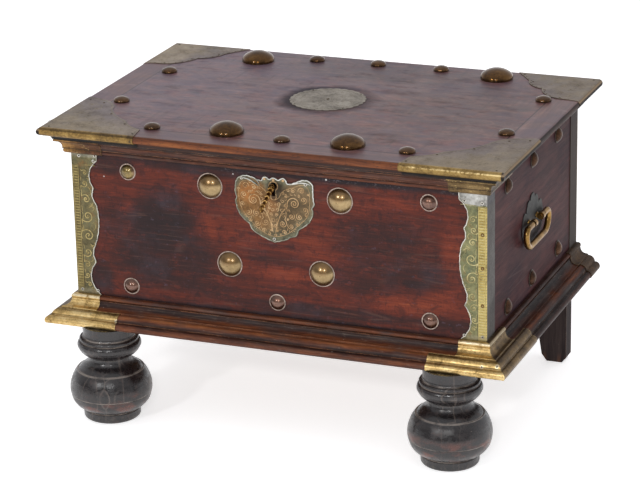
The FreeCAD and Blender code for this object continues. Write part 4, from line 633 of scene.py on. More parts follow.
def cap_zones(s, colour, tone):
    """Plinth corners: gold on the front, dull brown round on the ends, pale where the upper edge is rubbed."""
    ax = s.m("ABSOLUTE", s.x)
    turned = s.fit(s.add(s.sub(ax, HALF), s.add(s.y, SHIFT)), -0.4, 0.4)
    colour = s.mixc(s.mul(turned, 0.94), colour, shades(s, tone, rgb(44, 31, 15), rgb(92, 70, 37), rgb(138, 110, 64)))
    spots = s.fit(s.noise(s.scaled(s.p, (0.30, 0.30, 0.42), (3, 1, 6)), detail=4.0, rough=0.75), 0.56, 0.66)
    colour = s.mixc(s.mul(spots, 0.6), colour, rgb(74, 52, 28))
    rubbed = s.mul(s.band(s.z, 134.6, 0.8, 0.7), s.fit(tone, 0.40, 0.52))
    colour = s.mixc(s.mul(rubbed, s.sub(0.75, s.mul(turned, 0.45))), colour, rgb(226, 214, 184))
    dark = s.top(s.band(s.z, 121.8, 0.5, 0.9), s.band(s.z, 116.4, 0.4, 0.7))
    colour = s.mixc(s.mul(dark, 0.5), colour, rgb(56, 40, 22))
    heads = [(-178.8, 116.6), (-202.3, 131.3), (252.1, 119.1), (236.0, 117.0)]
    halo = s.patch([(x, -SHIFT - 24.0, z, 2.1, 30, 2.1, 1.0) for x, z in heads], None, 0.0, 0.6, 1.1)
    colour = s.mixc(s.mul(halo, 0.75), colour, rgb(232, 222, 196))
    core = s.patch([(x, -SHIFT - 24.0, z, 1.2, 30, 1.2, 1.0) for x, z in heads], None, 0.0, 0.6, 1.1)
    return s.mixc(s.mul(core, 0.85), colour, rgb(60, 46, 32))


def rim_cap_zones(s, colour, tone):
    """Corners of the rim under the lid: left one almost bare brown, right one dull gold with bright spots of painted
    glint.
    """
    right = s.fit(s.x, -10.0, 10.0)
    left_tone = s.mixc(s.fit(s.x, -206.0, -246.0), shades(s, tone, rgb(40, 23, 14), rgb(80, 48, 28), rgb(118, 74, 42)),
                       shades(s, tone, rgb(84, 58, 28), rgb(148, 108, 56), rgb(188, 146, 84)))
    colour = s.mixc(s.sub(1.0, right), colour, left_tone)
    turned = s.fit(s.add(s.sub(s.m("ABSOLUTE", s.x), HALF), s.add(s.y, SHIFT)), -0.4, 0.4)
    colour = s.mixc(s.mul(turned, 0.8), colour, shades(s, tone, rgb(40, 30, 20), rgb(80, 62, 40), rgb(122, 98, 66)))
    spots = s.fit(s.noise(s.scaled(s.p, (0.22, 0.22, 0.34), (9, 4, 6)), detail=5.0, rough=0.75), 0.54, 0.64)
    colour = s.mixc(s.mul(spots, 0.6), colour, rgb(50, 34, 20))
    lip = s.top(s.band(s.z, 311.0, 0.5, 0.8), s.band(s.z, 302.6, 0.4, 0.7))
    colour = s.mixc(s.mul(lip, 0.65), colour, rgb(40, 28, 16))
    # painted glints: noise spots of pale gold stand for highlights
    glint = s.fit(s.noise(s.scaled(s.p, (0.16, 0.16, 0.30), (2, 4, 1)), detail=4.0, rough=0.7), 0.60, 0.68)
    return s.mixc(s.mul(glint, 0.55), colour, rgb(212, 184, 120))


def boss_zones(s, colour, tone):
    """Painted reflection: the upper half of each large boss is darkened brown, for the dim room it mirrors; darker
    brown round the foot.
    """
    dark_upper_reflection = None
    for x, z in BOSS_PLACES:
        here = s.patch([(x, -SHIFT - 4.0, z + 7.5, 15.0, 20.0, 9.0, 1.0)], None, 0.0, 0.5, 1.05)
        dark_upper_reflection = here if dark_upper_reflection is None else s.top(dark_upper_reflection, here)
    # painted reflection: upper half of each boss darker
    colour = s.mixc(s.mul(dark_upper_reflection, 0.60), colour, rgb(114, 80, 42))
    foot = s.fit(s.y, -SHIFT - 3.0, -SHIFT - 0.8)
    return s.mixc(s.mul(foot, 0.60), colour, rgb(66, 50, 26))


def small_boss_zones(s, colour, tone):
    """The upper left nail has kept its gilding; the others are bare copper-brown."""
    kept = s.patch([(-182.0, -SHIFT, 274.0, 22, 40, 24, 1.0)], None, 0.0, 0.9, 1.1)
    return s.mixc(kept, colour, shades(s, tone, rgb(72, 58, 30), rgb(134, 114, 66), rgb(172, 150, 96)))


def chasing_zones(s, colour, tone):
    """Left strap gold-brown, right strap pale green-yellow."""
    left = s.fit(s.x, 10.0, -10.0)
    colour = s.mixc(s.mul(left, 0.75), colour, shades(s, tone, rgb(104, 88, 48), rgb(172, 150, 92), rgb(208, 186, 126)))
    worn = s.fit(s.noise(s.scaled(s.p, (0.16, 0.16, 0.16), (5, 5, 2)), detail=3.0), 0.56, 0.66)
    return s.mixc(s.mul(worn, 0.45), colour, rgb(120, 106, 70))


def backplate_zones(s, colour, tone):
    """Grey-green sheet above, with painted shadow of the handle in red-black below."""
    v = s.add(s.add(s.z, s.mul(s.sub(s.y, 157.0 - SHIFT), 0.20)), s.mul(s.sub(tone, 0.5), 40.0))
    # painted shadow under the handle: lower part darkened red-black
    low = s.fit(v, 226.0, 210.0)
    return s.mixc(s.mul(low, 0.9), colour, shades(s, tone, rgb(22, 13, 12), rgb(40, 26, 24), rgb(66, 44, 38)))


def lid_plate_sides(s):
    """1 on the folded side edges of the lid, 0 on the sheet above and on the gold front fold."""
    side = s.fit(s.sub(s.m("ABSOLUTE", s.x), HALF), 24.0, 25.0)
    return s.mul(s.mul(side, s.fit(s.z, 328.0, 327.6)), s.fit(s.y, -22.5 - SHIFT, -21.0 - SHIFT))


def lid_plate_zones(s, colour, tone):
    """Grey-tan sheet on top, gold where it is folded over the front edge, dull brown along the sides."""
    fold = s.top(s.fit(s.z, 327.95, 327.75), s.fit(s.y, -21.4 - SHIFT, -22.2 - SHIFT))
    front = s.fit(s.sub(s.m("ABSOLUTE", s.x), HALF), 24.6, 23.4)
    gold = shades(s, tone, rgb(78, 58, 26), rgb(144, 114, 60), rgb(192, 160, 96))
    worn = s.fit(s.noise(s.scaled(s.p, (0.25, 0.25, 0.5), (4, 1, 7)), detail=5.0, rough=0.75), 0.52, 0.62)
    gold = s.mixc(s.mul(worn, 0.65), gold, rgb(66, 50, 28))
    gold = s.mixc(s.mul(s.top(s.band(s.z, 327.6, 0.5, 0.8), s.band(s.z, 314.6, 0.8, 1.2)), 0.6), gold, rgb(48, 34, 20))
    brown = shades(s, tone, rgb(22, 14, 9), rgb(44, 31, 21), rgb(82, 62, 42))
    brown = s.mixc(s.mul(s.band(s.z, 326.8, 0.7, 0.6), 0.75), brown, rgb(150, 128, 100))
    brown = s.mixc(s.mul(s.fit(s.z, 325.2, 323.8), 0.85), brown, rgb(10, 7, 6))
    gold = s.mixc(s.mul(s.fit(s.x, -20.0, 20.0), 0.6), gold, shades(s, tone, rgb(106, 82, 40), rgb(168, 138, 78), rgb(216, 190, 130)))
    onright = s.fit(s.x, -20.0, 20.0)
    gold = s.mixc(s.mul(onright, s.mul(s.fit(s.z, 325.4, 324.2), 0.55)), gold, shades(s, tone, rgb(96, 76, 36), rgb(140, 114, 62), rgb(176, 148, 92)))
    # painted highlight: a near-white line along the top of the right front fold
    gold = s.mixc(s.mul(onright, s.mul(s.band(s.z, 326.4, 0.4, 0.5), s.fit(tone, 0.44, 0.54))), gold, rgb(232, 208, 150))
    ringpin = s.patch([(-151.0, -SHIFT - 26.4, 323.4, 1.7, 30, 1.7, 1.0)], None, 0.0, 0.6, 1.1)
    gold = s.mixc(s.mul(ringpin, 0.8), gold, rgb(60, 46, 30))
    fold_colour = s.mixc(s.mul(front, s.fit(s.y, -20.5 - SHIFT, -21.5 - SHIFT)), brown, gold)
    ax_ = s.m("ABSOLUTE", s.x)
    far_in = s.add(s.sub(256.0, ax_), s.m("MINIMUM", s.add(s.y, SHIFT + 24.0), s.sub(332.0 - SHIFT, s.y)))
    fade = s.fit(s.add(far_in, s.mul(s.sub(tone, 0.5), 60.0)), 62.0, 116.0)
    colour = s.mixc(s.mul(fade, 0.55), colour, shades(s, tone, rgb(96, 84, 88), rgb(122, 110, 114), rgb(146, 134, 136)))
    beige = s.mul(s.fit(s.x, -214.0, -226.0), s.fit(s.y, 200.0 - SHIFT, 220.0 - SHIFT))
    beige = s.top(beige, s.mul(s.fit(s.x, 222.0, 225.0), 0.22))
    colour = s.mixc(s.mul(beige, 0.40), colour, shades(s, tone, rgb(140, 122, 96), rgb(176, 158, 130), rgb(200, 184, 156)))
    colour = s.mixc(s.mul(onright, 0.20), colour, rgb(100, 84, 62))
    warm = s.fit(s.add(s.add(s.y, SHIFT), s.mul(s.sub(tone, 0.5), 60.0)), 40.0, -10.0)
    colour = s.mixc(s.mul(warm, 0.35), colour, shades(s, tone, rgb(124, 106, 78), rgb(160, 142, 110), rgb(186, 168, 134)))
    return s.mixc(fold, colour, fold_colour)


def escutcheon_zones(s, colour, tone):
    """Orange-gold field inside, grey-green margin, darker round the keyhole."""
    rag = s.noise(s.scaled(s.p, (0.12, 0.12, 0.12), (3, 3, 3)), detail=4.0, rough=0.6)
    y = -SHIFT
    inner = s.patch([(-24, y, 266, 22, 20, 23, 1.0), (24, y, 266, 22, 20, 23, 1.0), (0, y, 247, 28, 20, 25, 0.95)], rag, 0.5, 0.74, 1.08)
    left = s.fit(s.x, 6.0, -16.0)
    gold = s.mixc(left, shades(s, tone, rgb(58, 46, 32), rgb(100, 82, 56), rgb(140, 116, 84)),
                  shades(s, tone, rgb(72, 50, 26), rgb(124, 88, 48), rgb(164, 124, 76)))
    green = shades(s, tone, rgb(64, 64, 50), rgb(104, 102, 80), rgb(144, 140, 114))
    colour = s.mixc(inner, green, gold)
    glow = s.patch([(-28, y, 272, 14, 20, 13, 1.0), (-2, y, 262, 9, 20, 14, 0.6)], rag, 0.7)
    colour = s.mixc(s.mul(glow, 0.6), colour, rgb(168, 108, 54))
    blotch = s.fit(s.noise(s.scaled(s.p, (0.2, 0.2, 0.2), (1, 4, 6)), detail=5.0, rough=0.7), 0.52, 0.64)
    colour = s.mixc(s.mul(blotch, 0.4), colour, rgb(78, 66, 48))
    low = s.mul(s.fit(s.z, 238.0, 226.0), 0.6)
    colour = s.mixc(low, colour, green)
    hole = s.patch([(2, y, 280, 11, 20, 9, 1.0), (2, y, 271, 7, 20, 9, 0.8), (-16, y, 289, 6, 20, 4, 1.0)], rag, 0.5, 0.5, 1.2)
    return s.mixc(s.mul(hole, 0.8), colour, rgb(46, 32, 22))


def esc_rim_zones(s, colour, tone):
    """Rolled edge of the lock plate: near-white on the upper lobes and the right side, painted highlight over worn
    metal; grey-green elsewhere.
    """
    torn = s.fit(s.noise(s.scaled(s.p, (0.16, 0.16, 0.16), (4, 6, 2)), detail=4.0, rough=0.7), 0.40, 0.58)
    # painted highlight over worn metal, whitest toward the top and right
    high = s.fit(s.add(s.z, s.mul(s.x, 0.28)), 272.0, 286.0)
    colour = s.mixc(s.mul(high, s.add(0.45, s.mul(torn, 0.5))), colour, rgb(242, 242, 238))
    return s.mixc(s.mul(s.mul(s.sub(1.0, high), torn), 0.6), colour, rgb(92, 96, 80))


MATS = {}


def material(name, maker, *args, **kw):
    if name not in MATS:
        MATS[name] = maker(*args, **kw)
    return MATS[name]


WF = wood_front()
WL = wood_lid()
WS = wood_sides("wood_ends", "Y")
WB = wood_sides("wood_back", "X")
WI = wood_inside()
# the side rails (Y) are darker copies of the same timber, painted shade; the plinth front is lifted a little, painted
# light
MPX = wood_moulding("plinth_x", "X", bright=0.03)
MPY = wood_moulding("plinth_y", "Y", bright=-0.09)
MRX = wood_moulding("rim_x", "X", bright=-0.01)
MRY = wood_moulding("rim_y", "Y", bright=-0.12)
LEX = wood_lid_edge("X")
LEY = wood_lid_edge("Y")
BUN = wood_bun()
PLANK = wood_plank()
CAPS = metal("brass_caps", rgb(116, 92, 54), rgb(204, 172, 112), rgb(240, 218, 166), rough=0.32, edge=0.9, bump=0.15, metallic=0.9, zones=cap_zones)
RIMCAPS = metal("brass_rim_caps", rgb(56, 42, 24), rgb(108, 86, 52), rgb(156, 130, 86), rough=0.40, edge=0.8, metallic=0.6, zones=rim_cap_zones)
REARCAPS = metal("brass_rear_caps", rgb(30, 18, 6), rgb(60, 38, 12), rgb(102, 70, 26), rough=0.6, edge=0.9, metallic=0.35)
STRAP = metal("brass_straps", rgb(72, 66, 44), rgb(122, 112, 78), rgb(164, 150, 108), rough=0.44, patina=rgb(96, 104, 84), patina_amount=0.5, metallic=0.7, zones=strap_zones, dull=strap_rear)
LIDPLATE = metal("brass_lid_plates", rgb(96, 84, 70), rgb(132, 118, 100), rgb(160, 146, 122), rough=0.46, patina=rgb(126, 118, 114), patina_amount=0.6, hollow_tarnish_and_shade=0.35, metallic=0.55, zones=lid_plate_zones, dull=lid_plate_sides)
MEDAL = metal("brass_medallion", rgb(104, 98, 88), rgb(146, 138, 126), rgb(178, 170, 156), rough=0.5, hollow_tarnish_and_shade=0.4, metallic=0.5)
ESCM = metal("brass_escutcheon", rgb(92, 72, 46), rgb(146, 112, 70), rgb(178, 142, 96), rough=0.44, metallic=0.6, zones=escutcheon_zones)
BOSS = metal("brass_large_bosses", rgb(126, 104, 68), rgb(156, 132, 92), rgb(186, 162, 118), rough=0.25, tarnish=0.8, scale=0.8, bump=0.02, varnish=0.55, gloss=0.13, zones=boss_zones)
BOSSD = metal("copper_small_bosses", rgb(82, 56, 46), rgb(112, 80, 66), rgb(144, 108, 92), rough=0.28, scale=0.8, bump=0.0, zones=small_boss_zones, varnish=0.8)
LIDBOSS = metal("brass_lid_bosses", rgb(50, 32, 14), rgb(88, 60, 28), rgb(122, 90, 48), rough=0.16, scale=1.5, bump=0.03, varnish=0.35)
LIDSMALL = metal("brass_lid_small_bosses", rgb(50, 33, 18), rgb(84, 58, 34), rgb(120, 90, 58), rough=0.18, scale=1.0, bump=0.0, varnish=0.40)
ENDBOSS = metal("copper_end_bosses", rgb(36, 24, 18), rgb(72, 50, 36), rgb(112, 80, 58), rough=0.30, scale=1.5, bump=0.05, metallic=0.45, shine=0.08)
WASH = metal("pale_washers", rgb(84, 70, 60), rgb(168, 148, 136), rgb(216, 198, 184), rough=0.36, scale=2.2, metallic=0.5)
WASHD = metal("worn_end_washers", rgb(26, 20, 17), rgb(62, 51, 42), rgb(122, 107, 90), rough=0.45, scale=2.4, metallic=0.5)
HANDLE = metal("brass_handles", rgb(60, 44, 22), rgb(138, 106, 58), rgb(188, 152, 94), rough=0.26, scale=1.5, bump=0.12)
DARKPLATE = metal("dark_backplates", rgb(30, 30, 30), rgb(52, 52, 50), rgb(80, 79, 74), rough=0.6, metallic=0.3, zones=backplate_zones)
IRON = metal("old_iron", rgb(36, 30, 28), rgb(66, 58, 54), rgb(104, 94, 88), rough=0.5, patina=rgb(78, 50, 36), patina_amount=0.5, metallic=0.7)
KEYM = metal("key_brass", rgb(66, 46, 24), rgb(158, 120, 66), rgb(232, 198, 134), rough=0.16, scale=1.4, bump=0.06)


STRAP_LINES = metal("strap_chasing", rgb(122, 112, 74), rgb(190, 178, 126), rgb(222, 210, 162), rough=0.42, scale=1.6, metallic=0.55, zones=chasing_zones)
RINGS = metal("brown_pin_rings", rgb(62, 40, 16), rgb(112, 78, 34), rgb(150, 112, 58), rough=0.4, metallic=0.6)
ESC_LINES = metal("escutcheon_chasing_brass", rgb(112, 84, 54), rgb(196, 160, 114), rgb(232, 206, 166), rough=0.38, scale=2.0, metallic=0.55)
LID_LINES = metal("lid_chasing", rgb(104, 94, 78), rgb(138, 126, 106), rgb(164, 152, 130), rough=0.5, hollow_tarnish_and_shade=0.25, metallic=0.5)
MEDAL_LINES = metal("medallion_chasing_brass", rgb(96, 88, 78), rgb(134, 126, 114), rgb(168, 160, 146), rough=0.5, hollow_tarnish_and_shade=0.3, metallic=0.5)
ESC_RIM = metal("escutcheon_rim", rgb(96, 96, 82), rgb(168, 166, 148), rgb(210, 210, 198), rough=0.40, scale=2.4, metallic=0.35, zones=esc_rim_zones)
# pale cream metal for rolled edges and pin rings: worn bare metal, and painted highlight where the edges catch the
# light
PALE = metal("worn_edges_and_painted_highlight", rgb(112, 106, 94), rgb(208, 204, 192), rgb(244, 244, 238), rough=0.40, scale=2.4, metallic=0.3)
PINS = metal("pin_heads", rgb(34, 28, 24), rgb(70, 58, 46), rgb(120, 104, 84), rough=0.34, metallic=0.8)
LID_PINS = metal("lid_pin_heads", rgb(56, 48, 38), rgb(96, 84, 66), rgb(140, 124, 98), rough=0.36, metallic=0.8)


def give(node, mat):
    o = NODES[node]
    o.data.materials.clear()
    o.data.materials.append(mat)


ASSIGN = {
    "front_board": WF, "back_board": WB, "left_end_board": WS, "right_end_board": WS, "bottom_board": WI,
    "plinth_front_rail": MPX, "plinth_left_rail": MPY, "plinth_right_rail": MPY, "plinth_back_rail": MPX,
    "lid_panel": WL, "lid_front_border": LEX, "lid_left_border": LEY, "lid_right_border": LEY,
    "lid_rim_front": MRX, "lid_rim_left": MRY, "lid_rim_right": MRY,
    "front_left_bun_foot": BUN, "front_right_bun_foot": BUN, "rear_left_plank_foot": PLANK, "rear_right_plank_foot": PLANK,
    "front_left_corner_strap": STRAP, "front_right_corner_strap": STRAP, "rear_left_corner_strap": STRAP, "rear_right_corner_strap": STRAP,
    "plinth_cap_front_left": CAPS, "plinth_cap_front_right": CAPS, "plinth_cap_rear_left": REARCAPS, "plinth_cap_rear_right": REARCAPS,
    "lid_rim_cap_front_left": RIMCAPS, "lid_rim_cap_front_right": RIMCAPS,
    "lid_plate_front_left": LIDPLATE, "lid_plate_front_right": LIDPLATE, "lid_plate_back_left": LIDPLATE, "lid_plate_back_right": LIDPLATE,
    "lid_medallion": MEDAL, "escutcheon_plate": ESCM,
    "front_large_bosses": BOSS, "front_small_bosses": BOSSD, "front_large_washers": WASH, "front_small_washers": WASH,
    "end_bosses": ENDBOSS, "end_boss_washers": WASHD, "lid_large_bosses": LIDBOSS, "lid_small_bosses": LIDSMALL,
    "left_handle_backplate": DARKPLATE, "right_handle_backplate": DARKPLATE, "left_handle_posts": HANDLE, "right_handle_posts": HANDLE,
    "left_handle_bail": HANDLE, "right_handle_bail": HANDLE, "key": KEYM,
    "lock_bolt": IRON, "lock_case": IRON, "lock_screws": IRON, "lock_spring": IRON, "lid_hasp": IRON,
    "hinge_body_straps": IRON, "hinge_lid_straps": IRON, "hinge_pins": IRON,
}
for name in sorted(NODES):
    give(name, ASSIGN[name])

# ------------------------------------------------------------------ raised ornament in mesh code
class Metalwork:
    """Gathers small raised pieces that lie on one flat plate: (u, v) in mm on the plate, height w above it."""

    def __init__(self, place):
        self.place = place      # (u, v, w) mm -> frame point in metres
        self.verts, self.faces, self.smooth = [], [], []

    def point(self, u, v, w):
        self.verts.append(self.place(u, v, w))
        return len(self.verts) - 1

    def ridge(self, line, width=0.9, height=0.35, taper=True, closed=False, sink=0.06, flat=False):
        """A rounded ridge along a line of (u, v) points, drawn out to fine ends."""
        n = len(line)
        if n < 2:
            return
        shape = ((-1.0, 0.0), (-0.62, 0.72), (0.0, 1.0), (0.62, 0.72), (1.0, 0.0))
        if flat:
            shape = ((-1.0, 0.0), (-0.72, 1.0), (0.0, 1.0), (0.72, 1.0), (1.0, 0.0))
        run = [0.0]
        for a, b in zip(line, line[1:]):
            run.append(run[-1] + math.hypot(b[0] - a[0], b[1] - a[1]))
        total = run[-1]
        rows = []
        for i, (u, v) in enumerate(line):
            a = line[(i - 1) % n] if closed or i else line[0]
            b = line[(i + 1) % n] if closed or i < n - 1 else line[-1]
            tx, ty = b[0] - a[0], b[1] - a[1]
            d = math.hypot(tx, ty) or 1.0
            sx, sy = -ty / d, tx / d
            k = 1.0
            if taper and not closed:
                k = min(1.0, 0.30 + min(run[i], total - run[i]) / (2.6 * width))
            half, high = width / 2 * k, height * (0.45 + 0.55 * k)
            row = [self.point(u + sx * half * o, v + sy * half * o, high * h if h else -sink) for o, h in shape]
            rows.append(row)
        count = n if closed else n - 1
        for i in range(count):
            p, q = rows[i], rows[(i + 1) % n]
            for j in range(4):
                self.faces.append((p[j], p[j + 1], q[j + 1], q[j]))
            self.faces.append((p[4], p[0], q[0], q[4]))
        if not closed:
            self.faces.append(tuple(rows[0]))
            self.faces.append(tuple(reversed(rows[-1])))

    def lathe(self, u, v, profile, steps=18):
        """A small turned piece standing on the plate at (u, v); profile of (radius, height) from the foot inwards."""
        rings = []
        for r, h in profile:
            if r < 1e-6:
                rings.append([self.point(u, v, h)])
            else:
                rings.append([self.point(u + r * math.cos(2 * math.pi * k / steps), v + r * math.sin(2 * math.pi * k / steps), h)
                              for k in range(steps)])
        for p, q in zip(rings, rings[1:]):
            for k in range(steps):
                k2 = (k + 1) % steps
                if len(p) == 1:
                    self.faces.append((p[0], q[k2], q[k]))
                elif len(q) == 1:
                    self.faces.append((p[k], p[k2], q[0]))
                else:
                    self.faces.append((p[k], p[k2], q[k2], q[k]))
        if len(rings[0]) > 1:
            self.faces.append(tuple(reversed(rings[0])))
        if len(rings[-1]) > 1:
            self.faces.append(tuple(rings[-1]))

    def dot(self, u, v, r=0.7, h=0.5):
        self.lathe(u, v, [(r, -0.06), (r * 0.92, h * 0.45), (r * 0.62, h * 0.83), (0, h)], 12)

    def build(self, name, mat, body, slot):
        mesh = bpy.data.meshes.new(name)
        mesh.from_pydata(self.verts, [], self.faces)
        mesh.validate()
        for poly in mesh.polygons:
            poly.use_smooth = len(poly.vertices) <= 4
        o = bpy.data.objects.new(name, mesh)
        bpy.context.scene.collection.objects.link(o)
        import bmesh
        bm = bmesh.new()
        bm.from_mesh(mesh)
        bmesh.ops.recalc_face_normals(bm, faces=bm.faces)
        bm.to_mesh(mesh)
        bm.free()
        mesh.materials.append(mat)
        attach(o, body)
        return o


def arc_line(p, via, q, n=10):
    (ax, ay), (bx, by), (cx, cy) = p, via, q
    d = 2 * (ax * (by - cy) + bx * (cy - ay) + cx * (ay - by))
    ux = ((ax * ax + ay * ay) * (by - cy) + (bx * bx + by * by) * (cy - ay) + (cx * cx + cy * cy) * (ay - by)) / d
    uy = ((ax * ax + ay * ay) * (cx - bx) + (bx * bx + by * by) * (ax - cx) + (cx * cx + cy * cy) * (bx - ax)) / d
    r = math.hypot(ax - ux, ay - uy)
    a0, a1, a2 = (math.atan2(y - uy, x - ux) for x, y in (p, via, q))
    t1, t2 = (a1 - a0) % (2 * math.pi), (a2 - a0) % (2 * math.pi)
    if t1 > t2:
        t2 -= 2 * math.pi
    return [(ux + r * math.cos(a0 + t2 * i / n), uy + r * math.sin(a0 + t2 * i / n)) for i in range(1, n + 1)]


def line_of(path, n=10):
    out = [path[0]]
    for item in path[1:]:
        if item[0] == "arc":
            out += arc_line(out[-1], item[1], item[2], n)
        else:
            out.append(item)
    return out


def even(line, step, closed=False):
    """The same line with points about one step apart."""
    pts = list(line) + ([line[0]] if closed else [])
    run = [0.0]
    for a, b in zip(pts, pts[1:]):
        run.append(run[-1] + math.hypot(b[0] - a[0], b[1] - a[1]))
    count = max(2, int(round(run[-1] / step)))
    out, k = [], 0
    for i in range(count + (0 if closed else 1)):
        t = run[-1] * i / count
        while k < len(run) - 2 and run[k + 1] < t:
            k += 1
        f = (t - run[k]) / max(run[k + 1] - run[k], 1e-9)
        out.append((pts[k][0] + (pts[k + 1][0] - pts[k][0]) * f, pts[k][1] + (pts[k + 1][1] - pts[k][1]) * f))
    return out


def rounded(line, times=2, closed=False):
    for _ in range(times):
        n = len(line)
        out = []
        for i in range(n):
            if not closed and i in (0, n - 1):
                out.append(line[i])
                continue
            a, b, c = line[i - 1], line[i], line[(i + 1) % n]
            out.append(((a[0] + 2 * b[0] + c[0]) / 4, (a[1] + 2 * b[1] + c[1]) / 4))
        line = out
    return line


def inset(line, amount):
    """A closed outline moved towards its inside."""
    n = len(line)
    area = sum(line[i][0] * line[(i + 1) % n][1] - line[(i + 1) % n][0] * line[i][1] for i in range(n))
    sign = 1.0 if area > 0 else -1.0
    out = []
    for i in range(n):
        a, b = line[i - 1], line[(i + 1) % n]
        tx, ty = b[0] - a[0], b[1] - a[1]
        d = math.hypot(tx, ty) or 1.0
        out.append((line[i][0] - sign * ty / d * amount, line[i][1] + sign * tx / d * amount))
    return out


def curl(c, big, small, start, turns):
    """A spiral round c, from radius big at angle start (degrees) in to radius small; turns below zero wind clockwise."""
    n = max(10, int(abs(turns) * 26))
    out = []
    for i in range(n + 1):
        t = i / n
        r = big * (small / big) ** (t ** 0.85)
        a = math.radians(start) + 2 * math.pi * turns * t
        out.append((c[0] + r * math.cos(a), c[1] + r * math.sin(a)))
    return out


def tailed(points, spiral, n=8):
    """A spiral with a smooth stem led through the given points to its outer end."""
    return rounded(even(list(points) + spiral[:1], 1.2), 3)[:-1] + spiral


def scroll(a, b, side=1, kind="C", radius=None, turns=1.35, bulge=None, eye=0.24, n=14):
    """A C or S scroll: spirals round the eyes a and b, joined by a curved back."""
    dx, dy = b[0] - a[0], b[1] - a[1]
    d = math.hypot(dx, dy)
    ux, uy = dx / d, dy / d
    nx, ny = -uy * side, ux * side
    r = radius or d * 0.42
    bulge = d * 0.22 if bulge is None else bulge
    start = math.degrees(math.atan2(ny, nx))
    head = curl(a, r, r * eye, start, turns * side)
    if kind == "C":
        tail = curl(b, r, r * eye, start, -turns * side)
    else:
        tail = curl(b, r, r * eye, start + 180.0, turns * side)
    back = []
    for i in range(1, n):
        t = i / n
        if kind == "C":
            off = r + bulge * math.sin(math.pi * t) ** 2
        else:
            off = r * math.cos(math.pi * t)
        back.append((a[0] + dx * t + nx * off, a[1] + dy * t + ny * off))
    return list(reversed(head)) + back + tail


def leaf(a, b, bow=0.25, n=10):
    mx, my = (a[0] + b[0]) / 2 - (b[1] - a[1]) * bow, (a[1] + b[1]) / 2 + (b[0] - a[0]) * bow
    return line_of([a, ("arc", (mx, my), b)], n)


def on_front(u, v, w):
    return (u * MM, (-SHIFT - w) * MM, v * MM)


def ringed_pin(work_ring, work_head, u, v, r=2.1, w=0.0):
    work_ring.lathe(u, v, [(r, w - 0.05), (r * 0.98, w + 0.28), (r * 0.8, w + 0.46), (r * 0.58, w + 0.30), (r * 0.5, w + 0.1)], 20)
    work_head.lathe(u, v, [(r * 0.46, w - 0.02), (r * 0.44, w + 0.3), (r * 0.3, w + 0.5), (0, w + 0.58)], 14)


def small_pin(work, u, v, r=1.1, h=0.7, w=0.0):
    work.lathe(u, v, [(r, w - 0.05), (r * 0.96, w + h * 0.45), (r * 0.66, w + h * 0.85), (0, w + h)], 16)


STRAP_LINE = [(30.2, 305.0), (29.4, 288.5), ("arc", (19.9, 271.0), (24.6, 257.6)), ("arc", (22.4, 249.0), (26.6, 240.4)),
              ("arc", (28.9, 218.0), (22.2, 190.0)), ("arc", (20.8, 182.0), (23.8, 173.4)), ("arc", (16.8, 157.0), (22.4, 141.6)),
              (27.6, 135.7)]
RUNGS = 3.1
# volutes of the corner straps: distance from the corner, height, radius, turn (+ opens upwards, - downwards)
VOLUTES = {
    1: [(13.8, 268.0, 4.6, -1), (13.0, 256.6, 5.0, 1), (14.4, 243.0, 5.2, -1), (15.6, 225.2, 8.4, 1), (15.0, 203.4, 8.8, -1),
        (14.6, 184.4, 5.8, 1), (13.2, 171.4, 5.4, -1), (12.4, 158.6, 4.4, 1), (13.0, 148.6, 3.4, -1)],
    -1: [(14.0, 274.6, 3.8, -1), (13.4, 262.4, 5.0, 1), (14.4, 244.6, 6.4, -1), (15.4, 225.6, 8.6, 1), (15.0, 203.0, 8.6, -1),
         (13.6, 184.0, 6.4, 1), (12.4, 169.8, 4.8, -1), (11.6, 157.4, 4.0, 1), (13.6, 146.6, 3.4, -1)],
}


